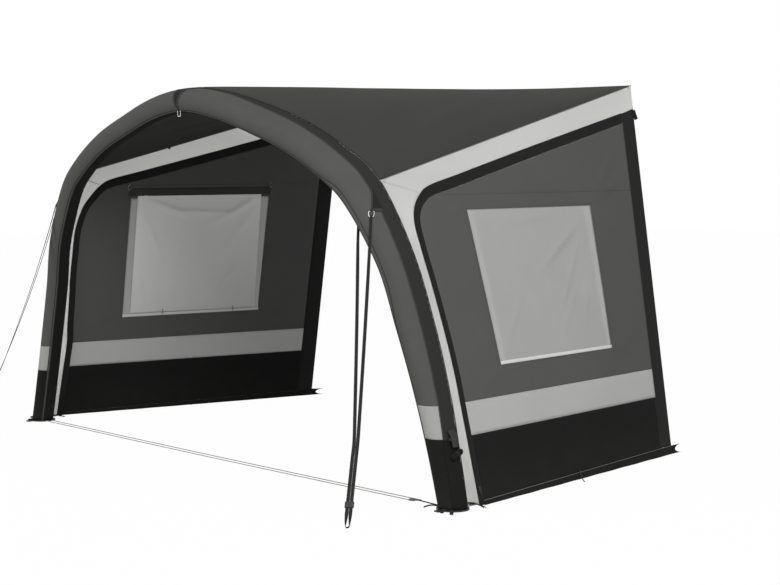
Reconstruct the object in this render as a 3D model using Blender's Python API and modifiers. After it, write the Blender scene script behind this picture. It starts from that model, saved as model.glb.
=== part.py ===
# Inflatable caravan awning: one air arch, a roof to the caravan's rail, and two zipped-in side walls.
# Metres, +Z up, +Y towards the caravan, +X to the right when one faces the caravan.
# The origin is on the ground under the middle of the awning.

import math

import bmesh
import bpy
from mathutils import Matrix, Vector

for old_object in list(bpy.data.objects):
    bpy.data.objects.remove(old_object, do_unlink=True)

# Overall shape
depth = 2.30                # from the line of the wall's front edge on the ground to the caravan
rail_height = 2.46          # height of the caravan's awning rail
rail_half = 1.512           # half the roof's length along the rail
rear_half = 1.912           # half the width of the side walls on the ground, at the caravan
front_half = 2.328          # the same on the ground at the front
crown_half = 1.617          # where the wall surface would lie at the front, at rail height

# Cloth, foam and seams
cloth = 0.0012
foam = 0.008
film_thickness = 0.0008
butt_gap = 0.0004
fold_gap = 0.0010           # where two sheets meet at an angle
running_gap = 0.0003
piping_radius = 0.003
beading_radius = 0.0035
merge_distance = 0.00001
least_slope_share = 0.3     # of a loft's row to its edge, for the gap along it

# Air arch: centre line of the tube, from the apex to a foot
arch_half = 2.24            # half the distance between the feet's centres
arch_height = 2.34          # centre line above the ground at the apex
foot_forward = 0.046        # how far the feet stand in front of the wall's front line
lean_length = 0.234         # how much further forward the apex leans
tube_radius = 0.0733
bladder_wall = 0.0012
sleeve_ease = 0.0006
facet_share = 0.974
arch_x_shares = (0, 0.154, 0.307, 0.459, 0.597, 0.697, 0.804, 0.858, 0.910, 0.957, 1)
arch_z_shares = (1, 0.981, 0.939, 0.889, 0.820, 0.745, 0.592, 0.442, 0.296, 0.149, 0)
arch_segments = 10
leg_rows = 4
shoulder_index = 5

# Fin of the sleeve: its seam stands off the centre line, outwards and back
fin_out = 0.150
fin_back = 0.098
fin_out_shares = (0.57, 0.65, 0.77, 0.84, 0.93, 1, 0.83, 0.70, 0.57, 0.53, 0.51)
fin_back_shares = (0.61, 0.71, 0.77, 0.81, 0.82, 0.87, 0.79, 0.97, 0.93, 0.66, 0.44)
seam_shares = (0.95, 0.90, 0.84, 0.81, 0.79, 0.75, 0.71, 0.70, 0.66, 0.61, 0.58)
inner_seam_angle = math.radians(153)

# Coloured bands, heights above the ground
stripe_bottom = 0.395
stripe_top = 0.58
hem_floor = 0.0003
hem_front = 0.030
hem_rear = 0.060
skirt_reach = 0.085         # how far the hem's points reach past the rear edge
skirt_dent = 0.045

# Zip that joins a side wall: the outer edge of its black band, as shares of depth and rail height
zip_right_y_shares = (
    0.043, 0.043, 0.043, 0.043, 0.0428, 0.0378, 0.0296, 0.0191, 0.0076, 0.0004, 0.0124, 0.0435)
zip_left_y_shares = (
    0.0496, 0.0496, 0.0496, 0.0496, 0.0397, 0.0357, 0.0293, 0.0259, 0.0244, 0.0383, 0.0639, 0.0926)
zip_z_shares = (0, 0.081, 0.1606, 0.2358, 0.2927, 0.3659, 0.439, 0.5163, 0.5854, 0.6504, 0.691, 0.7215)
zip_right_start_y = 0.19    # start of the sloping run below the roof
zip_left_start_y = 0.30
zip_corner_rise = 0.04511   # from the last of those points to the start of the sloping run
zip_start_z = zip_z_shares[-1] * rail_height + zip_corner_rise
zip_right_rise_share = 0.2304   # of the depth
zip_left_rise_share = 0.238
zip_widen_before = 3        # steps before the corner where the band starts to widen
zip_widen_steps = 5
zip_straight_steps = 3      # steps of its straight leg
zip_width_leg = 0.049
zip_width_roof = 0.066
rear_strip = 0.135

# Window, in depth and height
window_top_front = 0.48
window_top_rear = 1.70
window_bottom_front = 0.54
window_bottom_rear = 1.72
window_margin = 0.148       # below the start of the zip's sloping run
window_top = zip_start_z - window_margin
window_bottom = 0.765

# Curtain behind the window
curtain_top_front = 0.535
curtain_top_rear = 1.625
curtain_bottom_front = 0.60
curtain_bottom_rear = 1.68
curtain_overlap = 0.028     # above the window's top edge
curtain_top = window_top + curtain_overlap
curtain_bottom = 0.785
header_front = 0.455
header_rear = 1.715
header_overlap = 0.016
header_width = 0.057
header_low = window_top + header_overlap
header_high = header_low + header_width
curtain_cloth = 0.0016
header_standoff = 0.0020
curtain_standoff = 0.0055
fold_depth = 0.007
fold_waves = 7
fold_edge_share = 0.35      # depth of the folds at the curtain's two sides
fold_drift_share = 0.06     # how far the folds wander on their way down

# Foot
foot_radius = 0.096
foot_thickness = 0.008
foot_tab_width = 0.036
foot_tab_length = 0.034
foot_slot_width = 0.018
foot_slot_length = 0.014

# Valve on the right leg
valve_height = 0.37
valve_angle = math.radians(-8)
valve_bore = 0.006
valve_stem = 0.009
valve_flange = 0.015
valve_flange_height = 0.010
valve_stem_depth = 0.011
cap_radius = 0.0145
cap_height = 0.012
cap_plug_depth = 0.007
flap_width = 0.058
flap_length = 0.098
flap_rise = 0.052           # the flap's hinge line above the valve
flap_standoff = 0.024
flap_taper_share = 0.18
flap_lift_share = 1.8       # how fast it comes off the sleeve
flap_shift = 0.014          # how far the flap and the roll stand back from the valve
roll_radius = 0.018
roll_length = 0.088
roll_drop = 0.085
roll_slope_share = 0.45
roll_place_shares = (-0.5, -0.46, -0.2, 0.2, 0.46, 0.5)
roll_size_shares = (0.7, 0.94, 1, 1, 0.94, 0.7)

# Patches and rings at the apex and the shoulders
patch_tip_half = 0.008
eye_radius = 0.0055
eye_length = 0.016
ring_wire = 0.0025
ring_half = 0.016
ring_drop = 0.034
ring_x_shares = (0, 0.84, 1, 1, 0.93, 0.79, 0.58)
ring_z_shares = (0, 0, 0.10, 0.45, 0.70, 0.90, 1)
shoulder_from = 5.0         # the shoulder patch, in steps of the arch
shoulder_to = 5.42
shoulder_t = 5.34
shoulder_top_column = 9.8   # in columns of the sleeve's panels
shoulder_column = 6.95
apex_half = 0.24
apex_top_column = 8.8
apex_column = 0.57
ring_lean = 0.05            # least slope of a ring away from the sleeve
front_columns = 9
outer_columns = 5

# Storm straps, each a pair of webbing runs with one buckle and a peg loop
peg_right_x = 2.244
peg_right_y = -0.834
peg_left_x = -2.164
peg_left_y = -0.734
webbing_width = 0.020
webbing_thickness = 0.0016
strap_top_width = 0.016
strap_tail = 0.035
strap_spacing = 0.0206
strap_straight = 0.34       # the stretch above the buckle where both runs are parallel
strap_sag = 0.08            # how far the runs hang back at the top of that stretch
strap_bow_share = 0.25      # of that sag, in the middle of the stretch above
loop_floor = 0.0075
loop_length = 0.115
loop_turn_share = 0.85      # of that, over which the runs twist to go round the peg
loop_half = 0.011
strap_buckle_width = 0.050
strap_buckle_length = 0.034
strap_buckle_thickness = 0.010
strap_slot_ease = 0.0010
sewn_right_t = 5.25         # where the rear run is sewn to the sleeve, in steps of the arch
sewn_right_share = 0.88     # of the sleeve's inner side
sewn_left_t = 5.78
sewn_left_column = 6        # of the sleeve's front panel
sewn_reach = 0.12

# Ground cord between the feet
cord_radius = 0.0017
cord_height = 0.0060
cord_half_spacing = 0.024
ground_buckle_x = 1.90
thimble_height = 0.008
buckle_plate = 0.003
buckle_reach = 0.050
buckle_width = 0.034

# Zip slider and its pull
slider_height = 0.10
slider_length = 0.026
slider_width = 0.014
slider_thickness = 0.006
ear_thickness = 0.0018
ear_height = 0.006
pull_radius = 0.0013
pull_length = 0.030
pull_width = 0.007
pull_thickness = 0.0014

part_collection = bpy.data.collections.new("caravan_awning")
cutter_collection = bpy.data.collections.new("cutters")
bpy.context.scene.collection.children.link(part_collection)
bpy.context.scene.collection.children.link(cutter_collection)
origin = bpy.data.objects.new("awning_origin", None)
part_collection.objects.link(origin)


def finish(name, colour, roughness, metallic=0.0):
    material = bpy.data.materials.new(name)
    material.use_nodes = True
    shader = material.node_tree.nodes["Principled BSDF"]
    shader.inputs["Base Color"].default_value = (*colour, 1.0)
    shader.inputs["Roughness"].default_value = roughness
    shader.inputs["Metallic"].default_value = metallic
    return material


mid_grey = finish("sleeve_grey", (0.091, 0.091, 0.084), 0.85)
side_grey = finish("sleeve_dark", (0.048, 0.048, 0.045), 0.85)
black_cloth = finish("sleeve_black", (0.014, 0.014, 0.013), 0.9)
roof_grey = finish("roof_grey", (0.065, 0.065, 0.061), 0.85)
wall_grey = finish("wall_grey", (0.087, 0.087, 0.084), 0.85)
light_grey = finish("trim_light", (0.60, 0.60, 0.585), 0.8)
stripe_grey = finish("stripe_light", (0.42, 0.42, 0.42), 0.8)
mud_black = finish("mud_wall", (0.016, 0.016, 0.015), 0.9)
zip_black = finish("zip_band", (0.027, 0.027, 0.025), 0.8)
window_clear = finish("window_film", (0.36, 0.36, 0.34), 0.3)
curtain_cloth_grey = finish("curtain", (0.33, 0.33, 0.31), 0.9)
bladder_plastic = finish("bladder", (0.55, 0.55, 0.5), 0.4)
black_plastic = finish("black_plastic", (0.012, 0.012, 0.012), 0.5)
steel = finish("bright_steel", (0.6, 0.6, 0.58), 0.35, 1.0)
webbing_black = finish("webbing", (0.012, 0.012, 0.011), 0.9)
cord_grey = finish("cord", (0.30, 0.30, 0.28), 0.8)


def add_object(name, mesh, material, collection=part_collection, location=(0, 0, 0)):
    new_object = bpy.data.objects.new(name, mesh)
    new_object.location = location
    new_object.parent = origin
    if material:
        mesh.materials.append(material)
    collection.objects.link(new_object)
    return new_object


def mesh_from(name, verts, faces):
    mesh = bpy.data.meshes.new(name)
    mesh.from_pydata([tuple(v) for v in verts], [], faces)
    mesh.update()
    return mesh


def closed_mesh(name, bm):
    bmesh.ops.recalc_face_normals(bm, faces=bm.faces)
    mesh = bpy.data.meshes.new(name)
    bm.to_mesh(mesh)
    bm.free()
    return mesh


def thicken(sheet_object, thickness, offset=0.0):
    modifier = sheet_object.modifiers.new("thickness", "SOLIDIFY")
    modifier.thickness = thickness
    modifier.offset = offset
    return modifier


def grid_sheet(name, rows, material, thickness=cloth, closed=False):
    columns = len(rows[0])
    verts = [point for row in rows for point in row]
    faces = []
    for i in range(len(rows) - 1):
        for j in range(columns if closed else columns - 1):
            k = (j + 1) % columns
            faces.append((i * columns + j, i * columns + k, (i + 1) * columns + k, (i + 1) * columns + j))
    sheet = add_object(name, mesh_from(name, verts, faces), material)
    thicken(sheet, thickness)
    return sheet


def cutter(name, mesh, matrix):
    tool = add_object(name, mesh, None, cutter_collection)
    tool.matrix_local = matrix
    tool.hide_render = True
    tool.display_type = "WIRE"
    return tool


def combine(target, tool, operation):
    modifier = target.modifiers.new(operation.lower(), "BOOLEAN")
    modifier.operation = operation
    modifier.solver = "EXACT"
    modifier.object = tool


def cylinder_mesh(name, radius, length, sides=16):
    bm = bmesh.new()
    bmesh.ops.create_cone(
        bm, cap_ends=True, segments=sides, radius1=radius, radius2=radius, depth=length)
    return closed_mesh(name, bm)


def box_mesh(name, size_x, size_y, size_z, centre=(0, 0, 0)):
    bm = bmesh.new()
    bmesh.ops.create_cube(bm, size=1)
    bmesh.ops.scale(bm, vec=(size_x, size_y, size_z), verts=bm.verts)
    bmesh.ops.translate(bm, vec=centre, verts=bm.verts)
    return closed_mesh(name, bm)


def tube(name, points, radius, material, sides=2, cyclic=False):
    curve = bpy.data.curves.new(name, "CURVE")
    curve.dimensions = "3D"
    curve.bevel_depth = radius
    curve.bevel_resolution = sides
    curve.use_fill_caps = not cyclic
    spline = curve.splines.new("POLY")
    spline.points.add(len(points) - 1)
    for target, point in zip(spline.points, points):
        target.co = point.to_4d()
    spline.use_cyclic_u = cyclic
    curve.materials.append(material)
    rod = bpy.data.objects.new(name, curve)
    rod.parent = origin
    part_collection.objects.link(rod)
    return rod


def axes_matrix(place, x_axis, y_axis, z_axis):
    turn = Matrix((x_axis, y_axis, z_axis)).transposed().to_4x4()
    return Matrix.Translation(place) @ turn


def catmull(values, t, odd=False):
    # Smooth curve through the table's values; the apex mirrors it and the foot runs straight on.
    index = min(int(t), len(values) - 2)
    s = t - index
    before = (-values[1] if odd else values[1]) if index == 0 else values[index - 1]
    a, b = values[index], values[index + 1]
    after = values[index + 2] if index + 2 < len(values) else 2 * b - a
    slope_a, slope_b = (b - before) / 2, (after - a) / 2
    return ((2 * s**3 - 3 * s**2 + 1) * a + (s**3 - 2 * s**2 + s) * slope_a
            + (3 * s**2 - 2 * s**3) * b + (s**3 - s**2) * slope_b)


def arch_centre(t):
    # t runs from the left foot through the apex at zero to the right foot
    side = 1 if t >= 0 else -1
    height = catmull(arch_z_shares, abs(t))
    x = side * arch_half * catmull(arch_x_shares, abs(t), odd=True)
    return Vector((x, -foot_forward - lean_length * height**2, arch_height * height))


def arch_frame(t):
    step_share = 0.002
    ahead = arch_centre(min(t + step_share, arch_segments))
    behind = arch_centre(max(t - step_share, -arch_segments))
    along = (ahead - behind).normalized()
    outward = along.cross(Vector((0, 1, 0))).normalized()
    back = outward.cross(along).normalized()
    return arch_centre(t), along, outward, back


def t_at_height(height):
    low, high = 0.0, float(arch_segments)
    for _ in range(40):
        middle = (low + high) / 2
        if arch_centre(middle).z > height:
            low = middle
        else:
            high = middle
    return (low + high) / 2


sleeve_radius = (tube_radius + cloth / 2 + sleeve_ease) / facet_share


def fin_point(t):
    centre, _, outward, back = arch_frame(t)
    out = fin_out * catmull(fin_out_shares, abs(t))
    rear = fin_back * catmull(fin_back_shares, abs(t))
    return centre + outward * out + back * rear, out, rear


def section(t, share, face, lift=0.0):
    # A point on the sleeve: face "front" runs from the inner seam round the front to the fin,
    # and face "inner" from the fin round the back to the inner seam.
    centre, _, outward, back = arch_frame(t)
    fin, out, rear = fin_point(t)
    reach = math.hypot(out, rear)
    direction = -math.atan2(rear, out)
    spread = math.acos(sleeve_radius / reach)
    straight = math.sqrt(reach**2 - sleeve_radius**2)

    def on_circle(angle):
        return outward * math.cos(angle) - back * math.sin(angle)

    if face == "front":
        tangent = direction + spread
        arc = sleeve_radius * (inner_seam_angle - tangent)
        walked = share * (arc + straight)
        angle = max(inner_seam_angle - walked / sleeve_radius, tangent)
        rest = max(walked - arc, 0) / straight
    else:
        tangent = direction - spread
        arc = sleeve_radius * (tangent - inner_seam_angle + 2 * math.pi)
        walked = (1 - share) * (arc + straight)
        angle = min(inner_seam_angle - 2 * math.pi + walked / sleeve_radius, tangent)
        rest = max(walked - arc, 0) / straight
    radial = on_circle(angle)
    round_point = centre + radial * sleeve_radius
    return round_point.lerp(fin, rest) + radial * lift


def face_length(t, face):
    _, out, rear = fin_point(t)
    reach = math.hypot(out, rear)
    direction = -math.atan2(rear, out)
    spread = math.acos(sleeve_radius / reach)
    straight = math.sqrt(reach**2 - sleeve_radius**2)
    if face == "front":
        return sleeve_radius * (inner_seam_angle - direction - spread) + straight
    return sleeve_radius * (direction - spread - inner_seam_angle + 2 * math.pi) + straight


def sleeve_row(t, face, start, end, columns, level=None):
    # start and end are distances or functions that give a share of the face at t
    row = []
    _, along, _, _ = arch_frame(t)
    low, high = start(t), end(t)
    for j in range(columns + 1):
        point = section(t, low + (high - low) * j / columns, face)
        if level is not None:
            point = point + along * ((level - point.z) / along.z)
        row.append(point)
    return row


def share_inset(face, distance):
    return lambda t: distance / face_length(t, face)


def share_outset(face, distance):
    return lambda t: 1 - distance / face_length(t, face)


def seam_share(offset):
    return lambda t: catmull(seam_shares, abs(t)) + offset / face_length(t, "front")


seam_inset = piping_radius + 2 * running_gap
inner_start = share_inset("front", running_gap)
seam_low = seam_share(-butt_gap / 2)
seam_high = seam_share(butt_gap / 2)
front_end = share_outset("front", seam_inset)
back_start = share_inset("inner", seam_inset)
back_end = share_outset("inner", running_gap)
sleeve_bottom = foot_thickness + butt_gap

half_steps = [k / 2 for k in range(2 * arch_segments + 1)]
stations = [-t for t in reversed(half_steps[1:])] + half_steps
foot_t = t_at_height(foot_radius)


def arch_rows():
    # Rows from foot to foot as (t, level); a row with a level is cut off parallel to the ground
    steps = [stripe_top, (stripe_top + stripe_bottom) / 2]
    steps += [stripe_bottom + (sleeve_bottom - stripe_bottom) * i / leg_rows for i in range(leg_rows + 1)]
    right = [(t_at_height(level), level) for level in steps]
    left = [(-t, level) for t, level in reversed(right)]
    top_t = t_at_height(stripe_top + foot_radius / 2)
    return left + [(t, None) for t in stations if abs(t) <= top_t] + right


def panel_rows(rows, face, start, end, columns, low=None, high=None):
    made = []
    for t, level in rows:
        if level is not None and low is not None and abs(level - low) < cloth:
            level = low + butt_gap / 2
        elif level is not None and high is not None and abs(level - high) < cloth:
            level = high - butt_gap / 2
        made.append(sleeve_row(t, face, start, end, columns, level))
    return made


def fin_row_point(t, level):
    point, _, _ = fin_point(t)
    if level is None:
        return point
    _, along, _, _ = arch_frame(t)
    return point + along * ((level - point.z) / along.z)


all_rows = arch_rows()


def build_sleeve():
    top_rows = [row for row in all_rows if row[1] is None or row[1] == stripe_top]
    front_rows = panel_rows(top_rows, "front", inner_start, seam_low, front_columns, stripe_top)
    grid_sheet("arch_front_panel", front_rows, mid_grey)
    outer = grid_sheet(
        "arch_outer_panel", panel_rows(all_rows, "front", seam_high, front_end, outer_columns), side_grey)
    grid_sheet("arch_inner_panel", panel_rows(all_rows, "inner", back_start, back_end, 9), black_cloth)
    for side, word in ((-1, "left"), (1, "right")):
        leg = [row for row in all_rows if row[1] is not None and row[0] * side > 0]
        stripe = [row for row in leg if row[1] >= stripe_bottom]
        gaiter = [row for row in leg if row[1] <= stripe_bottom]
        grid_sheet(f"leg_stripe_{word}", panel_rows(
            stripe, "front", inner_start, seam_low, 6, stripe_bottom, stripe_top), stripe_grey)
        grid_sheet(f"leg_gaiter_{word}", panel_rows(
            gaiter, "front", inner_start, seam_low, 6, None, stripe_bottom), black_cloth)
    seam = [fin_row_point(t, level) for t, level in all_rows]
    lift = Vector((0, 0, piping_radius / 2))
    tube("arch_seam_piping", [seam[0] + lift] + seam[1:-1] + [seam[-1] + lift], piping_radius, mid_grey, 1)
    return outer


def build_bladder():
    sides = 12
    verts, faces = [], []
    ring_list = [t for t in stations if abs(t) <= foot_t]
    ring_list = [-t_at_height(foot_radius / 2)] + ring_list + [t_at_height(foot_radius / 2)]
    for t in ring_list:
        centre, _, outward, back = arch_frame(t)
        for j in range(sides):
            angle = 2 * math.pi * j / sides
            verts.append(centre + (outward * math.cos(angle) - back * math.sin(angle)) * tube_radius)
    for i in range(len(ring_list) - 1):
        for j in range(sides):
            k = (j + 1) % sides
            faces.append((i * sides + j, i * sides + k, (i + 1) * sides + k, (i + 1) * sides + j))
    faces.append(tuple(range(sides)))
    faces.append(tuple((len(ring_list) - 1) * sides + j for j in reversed(range(sides))))
    bm = bmesh.new()
    made = [bm.verts.new(v) for v in verts]
    for face in faces:
        bm.faces.new([made[i] for i in face])
    bladder = add_object("arch_air_tube", closed_mesh("arch_air_tube", bm), bladder_plastic)
    thicken(bladder, bladder_wall, -1.0)
    return bladder


def valve_frame(height=valve_height, angle=valve_angle):
    centre, along, outward, back = arch_frame(t_at_height(height))
    radial = outward * math.cos(angle) - back * math.sin(angle)
    sideways = radial.cross(along).normalized()
    return centre, radial, -along, -sideways


def turned(name, profile, material, place, axis, sides=16):
    # The profile's points are (radius, distance along the axis), from the top of the outer side down
    bm = bmesh.new()
    ring = [bm.verts.new((radius, 0, height)) for radius, height in profile]
    for a, b in zip(ring, ring[1:]):
        bm.edges.new((a, b))
    if profile[0][0] > 0 and profile[-1][0] > 0:
        bm.edges.new((ring[-1], ring[0]))
    mesh = bpy.data.meshes.new(name)
    bm.to_mesh(mesh)
    bm.free()
    body = add_object(name, mesh, material)
    screw = body.modifiers.new("turn", "SCREW")
    screw.steps = sides
    screw.render_steps = sides
    screw.use_merge_vertices = True
    screw.merge_threshold = merge_distance
    side_axis = axis.orthogonal().normalized()
    body.matrix_local = axes_matrix(place, side_axis, axis.cross(side_axis), axis)
    return body


def build_valve(bladder, outer_panel):
    centre, radial, up, sideways = valve_frame()
    turn = axes_matrix(centre + radial * tube_radius, sideways, radial.cross(sideways), radial)
    hole_length = 4 * valve_stem_depth
    stem_hole = cylinder_mesh("stem_hole", valve_stem + running_gap, hole_length)
    combine(bladder, cutter("bladder_valve_hole", stem_hole, turn), "DIFFERENCE")
    panel_hole = cylinder_mesh("panel_hole", valve_flange + 2 * running_gap, hole_length)
    combine(outer_panel, cutter("panel_valve_hole", panel_hole, turn), "DIFFERENCE")
    seat = sleeve_ease
    turned("valve_collar", [
        (valve_bore, seat + valve_flange_height), (valve_flange, seat + valve_flange_height),
        (valve_flange, seat), (valve_stem, seat), (valve_stem, -valve_stem_depth),
        (valve_bore, -valve_stem_depth)], black_plastic, centre + radial * tube_radius, radial)
    cap_base = seat + valve_flange_height + running_gap
    plug = valve_bore - running_gap
    turned("valve_cap", [
        (0, cap_height), (cap_radius, cap_height), (cap_radius, 0), (plug, 0), (plug, -cap_plug_depth),
        (0, -cap_plug_depth)], black_plastic, centre + radial * (tube_radius + cap_base), radial)
    hinge_height = valve_height + flap_rise
    lift = cloth + 2 * running_gap
    size = face_length(t_at_height(valve_height), "front")
    middle_share = (sleeve_radius * (inner_seam_angle - valve_angle) + flap_shift) / size
    hinge = section(t_at_height(hinge_height), middle_share, "front", lift)
    rows = []
    for i in range(7):
        s = i / 6
        t = t_at_height(hinge_height - flap_length * s)
        stand = flap_standoff * math.sin(math.pi / 2 * min(1, flap_lift_share * s))
        half = flap_width / 2 * (1 - flap_taper_share * s) / face_length(t, "front")
        shares = [middle_share + half * (j / 2 - 1) for j in range(5)]
        rows.append([section(t, share, "front", lift + stand) - hinge for share in shares])
    flap = grid_sheet("valve_flap", rows, side_grey)
    flap.location = hinge
    roll_t = t_at_height(valve_height - roll_drop)
    seat = section(roll_t, middle_share, "front")
    middle = section(roll_t, middle_share, "front", roll_radius + cloth / 2 - running_gap)
    _, roll_radial, roll_up, _ = valve_frame(valve_height - roll_drop)
    roll_radial = (middle - seat).normalized()
    lie = (roll_up * roll_slope_share + Vector((0, 1, 0))).normalized()
    lie = (lie - roll_radial * lie.dot(roll_radial)).normalized()
    points = [middle + lie * roll_length * s for s in roll_place_shares]
    roll = tube("valve_roll", points, roll_radius, black_cloth, 3)
    for point, size in zip(roll.data.splines[0].points, roll_size_shares):
        point.radius = size


def wall_x(y, z):
    u, v = y / depth, z / rail_height
    front = front_half + (crown_half - front_half) * v
    rear = rear_half + (rail_half - rear_half) * v
    return front + (rear - front) * u


def wall_point(side, y, z, out=0.0):
    return Vector((side * (wall_x(y, z) + out), y, z))


def zip_run_height(side, y):
    # The zip's sloping run below the roof
    if side > 0:
        return zip_start_z + zip_right_rise_share * (y - zip_right_start_y)
    return zip_start_z + zip_left_rise_share * (y - zip_left_start_y)


corner_index = len(zip_z_shares) - 1


def zip_outline(side):
    # Outer and inner edges of the zip band, from the foot round the front corner to the rear strip
    y_shares = zip_right_y_shares if side > 0 else zip_left_y_shares
    start_y = zip_right_start_y if side > 0 else zip_left_start_y
    outer = [(y * depth, z * rail_height) for y, z in zip(y_shares, zip_z_shares)]
    outer[0] = (outer[0][0], sleeve_bottom)
    strip_front = depth - rear_strip
    runs = 8
    for i in range(runs + 1):
        y = start_y + (strip_front - start_y) * i / runs
        outer.append((y, zip_run_height(side, y)))
    inner = []
    for k, (y, z) in enumerate(outer):
        before, after = outer[max(k - 1, 0)], outer[min(k + 1, len(outer) - 1)]
        dy, dz = after[0] - before[0], after[1] - before[1]
        length = math.hypot(dy, dz)
        share = min(max((k - corner_index + zip_widen_before) / zip_widen_steps, 0), 1)
        width = zip_width_leg + (zip_width_roof - zip_width_leg) * share
        inner.append((y + width * dz / length, z - width * dy / length))
    for k in range(zip_straight_steps + 1):
        inner[k] = (outer[k][0] + zip_width_leg, outer[k][1])
    inner[-1] = (strip_front, outer[-1][1] - zip_width_roof)
    return outer, inner


def pull_in(a, b, gap_a, gap_b):
    length = (b - a).length
    return a.lerp(b, gap_a / length), b.lerp(a, gap_b / length)


def trim_ends(points, gap_start, gap_end):
    first, _ = pull_in(points[0], points[1], gap_start, 0)
    last, _ = pull_in(points[-1], points[-2], gap_end, 0)
    return [first] + list(points[1:-1]) + [last]


def row_slope(edge, k, row):
    # Sine of the angle between a row of the loft and its edge
    before, after = edge[max(k - 1, 0)], edge[min(k + 1, len(edge) - 1)]
    return max(row.normalized().cross((after - before).normalized()).length, least_slope_share)


def loft(name, edge_a, edge_b, rows, material, gaps=(0, 0, 0, 0), thickness=cloth):
    # A sheet between two edges of as many points; gaps are at edge a, edge b, the start and the end
    gap_a, gap_b, gap_start, gap_end = gaps
    side_a = trim_ends(edge_a, gap_start, gap_end)
    side_b = trim_ends(edge_b, gap_start, gap_end)
    grid = []
    for k, (a, b) in enumerate(zip(side_a, side_b)):
        slope_a, slope_b = row_slope(side_a, k, b - a), row_slope(side_b, k, b - a)
        low, high = pull_in(a, b, gap_a / slope_a, gap_b / slope_b)
        grid.append([low.lerp(high, j / rows) for j in range(rows + 1)])
    return grid_sheet(name, grid, material, thickness)


def straight_line(a, b, count):
    return [a.lerp(b, i / (count - 1)) for i in range(count)]


def side_points(side, outline, out=0.0):
    return [wall_point(side, y, z, out) for y, z in outline]


def hem_height(y):
    return hem_front + (hem_rear - hem_front) * y / depth


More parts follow.
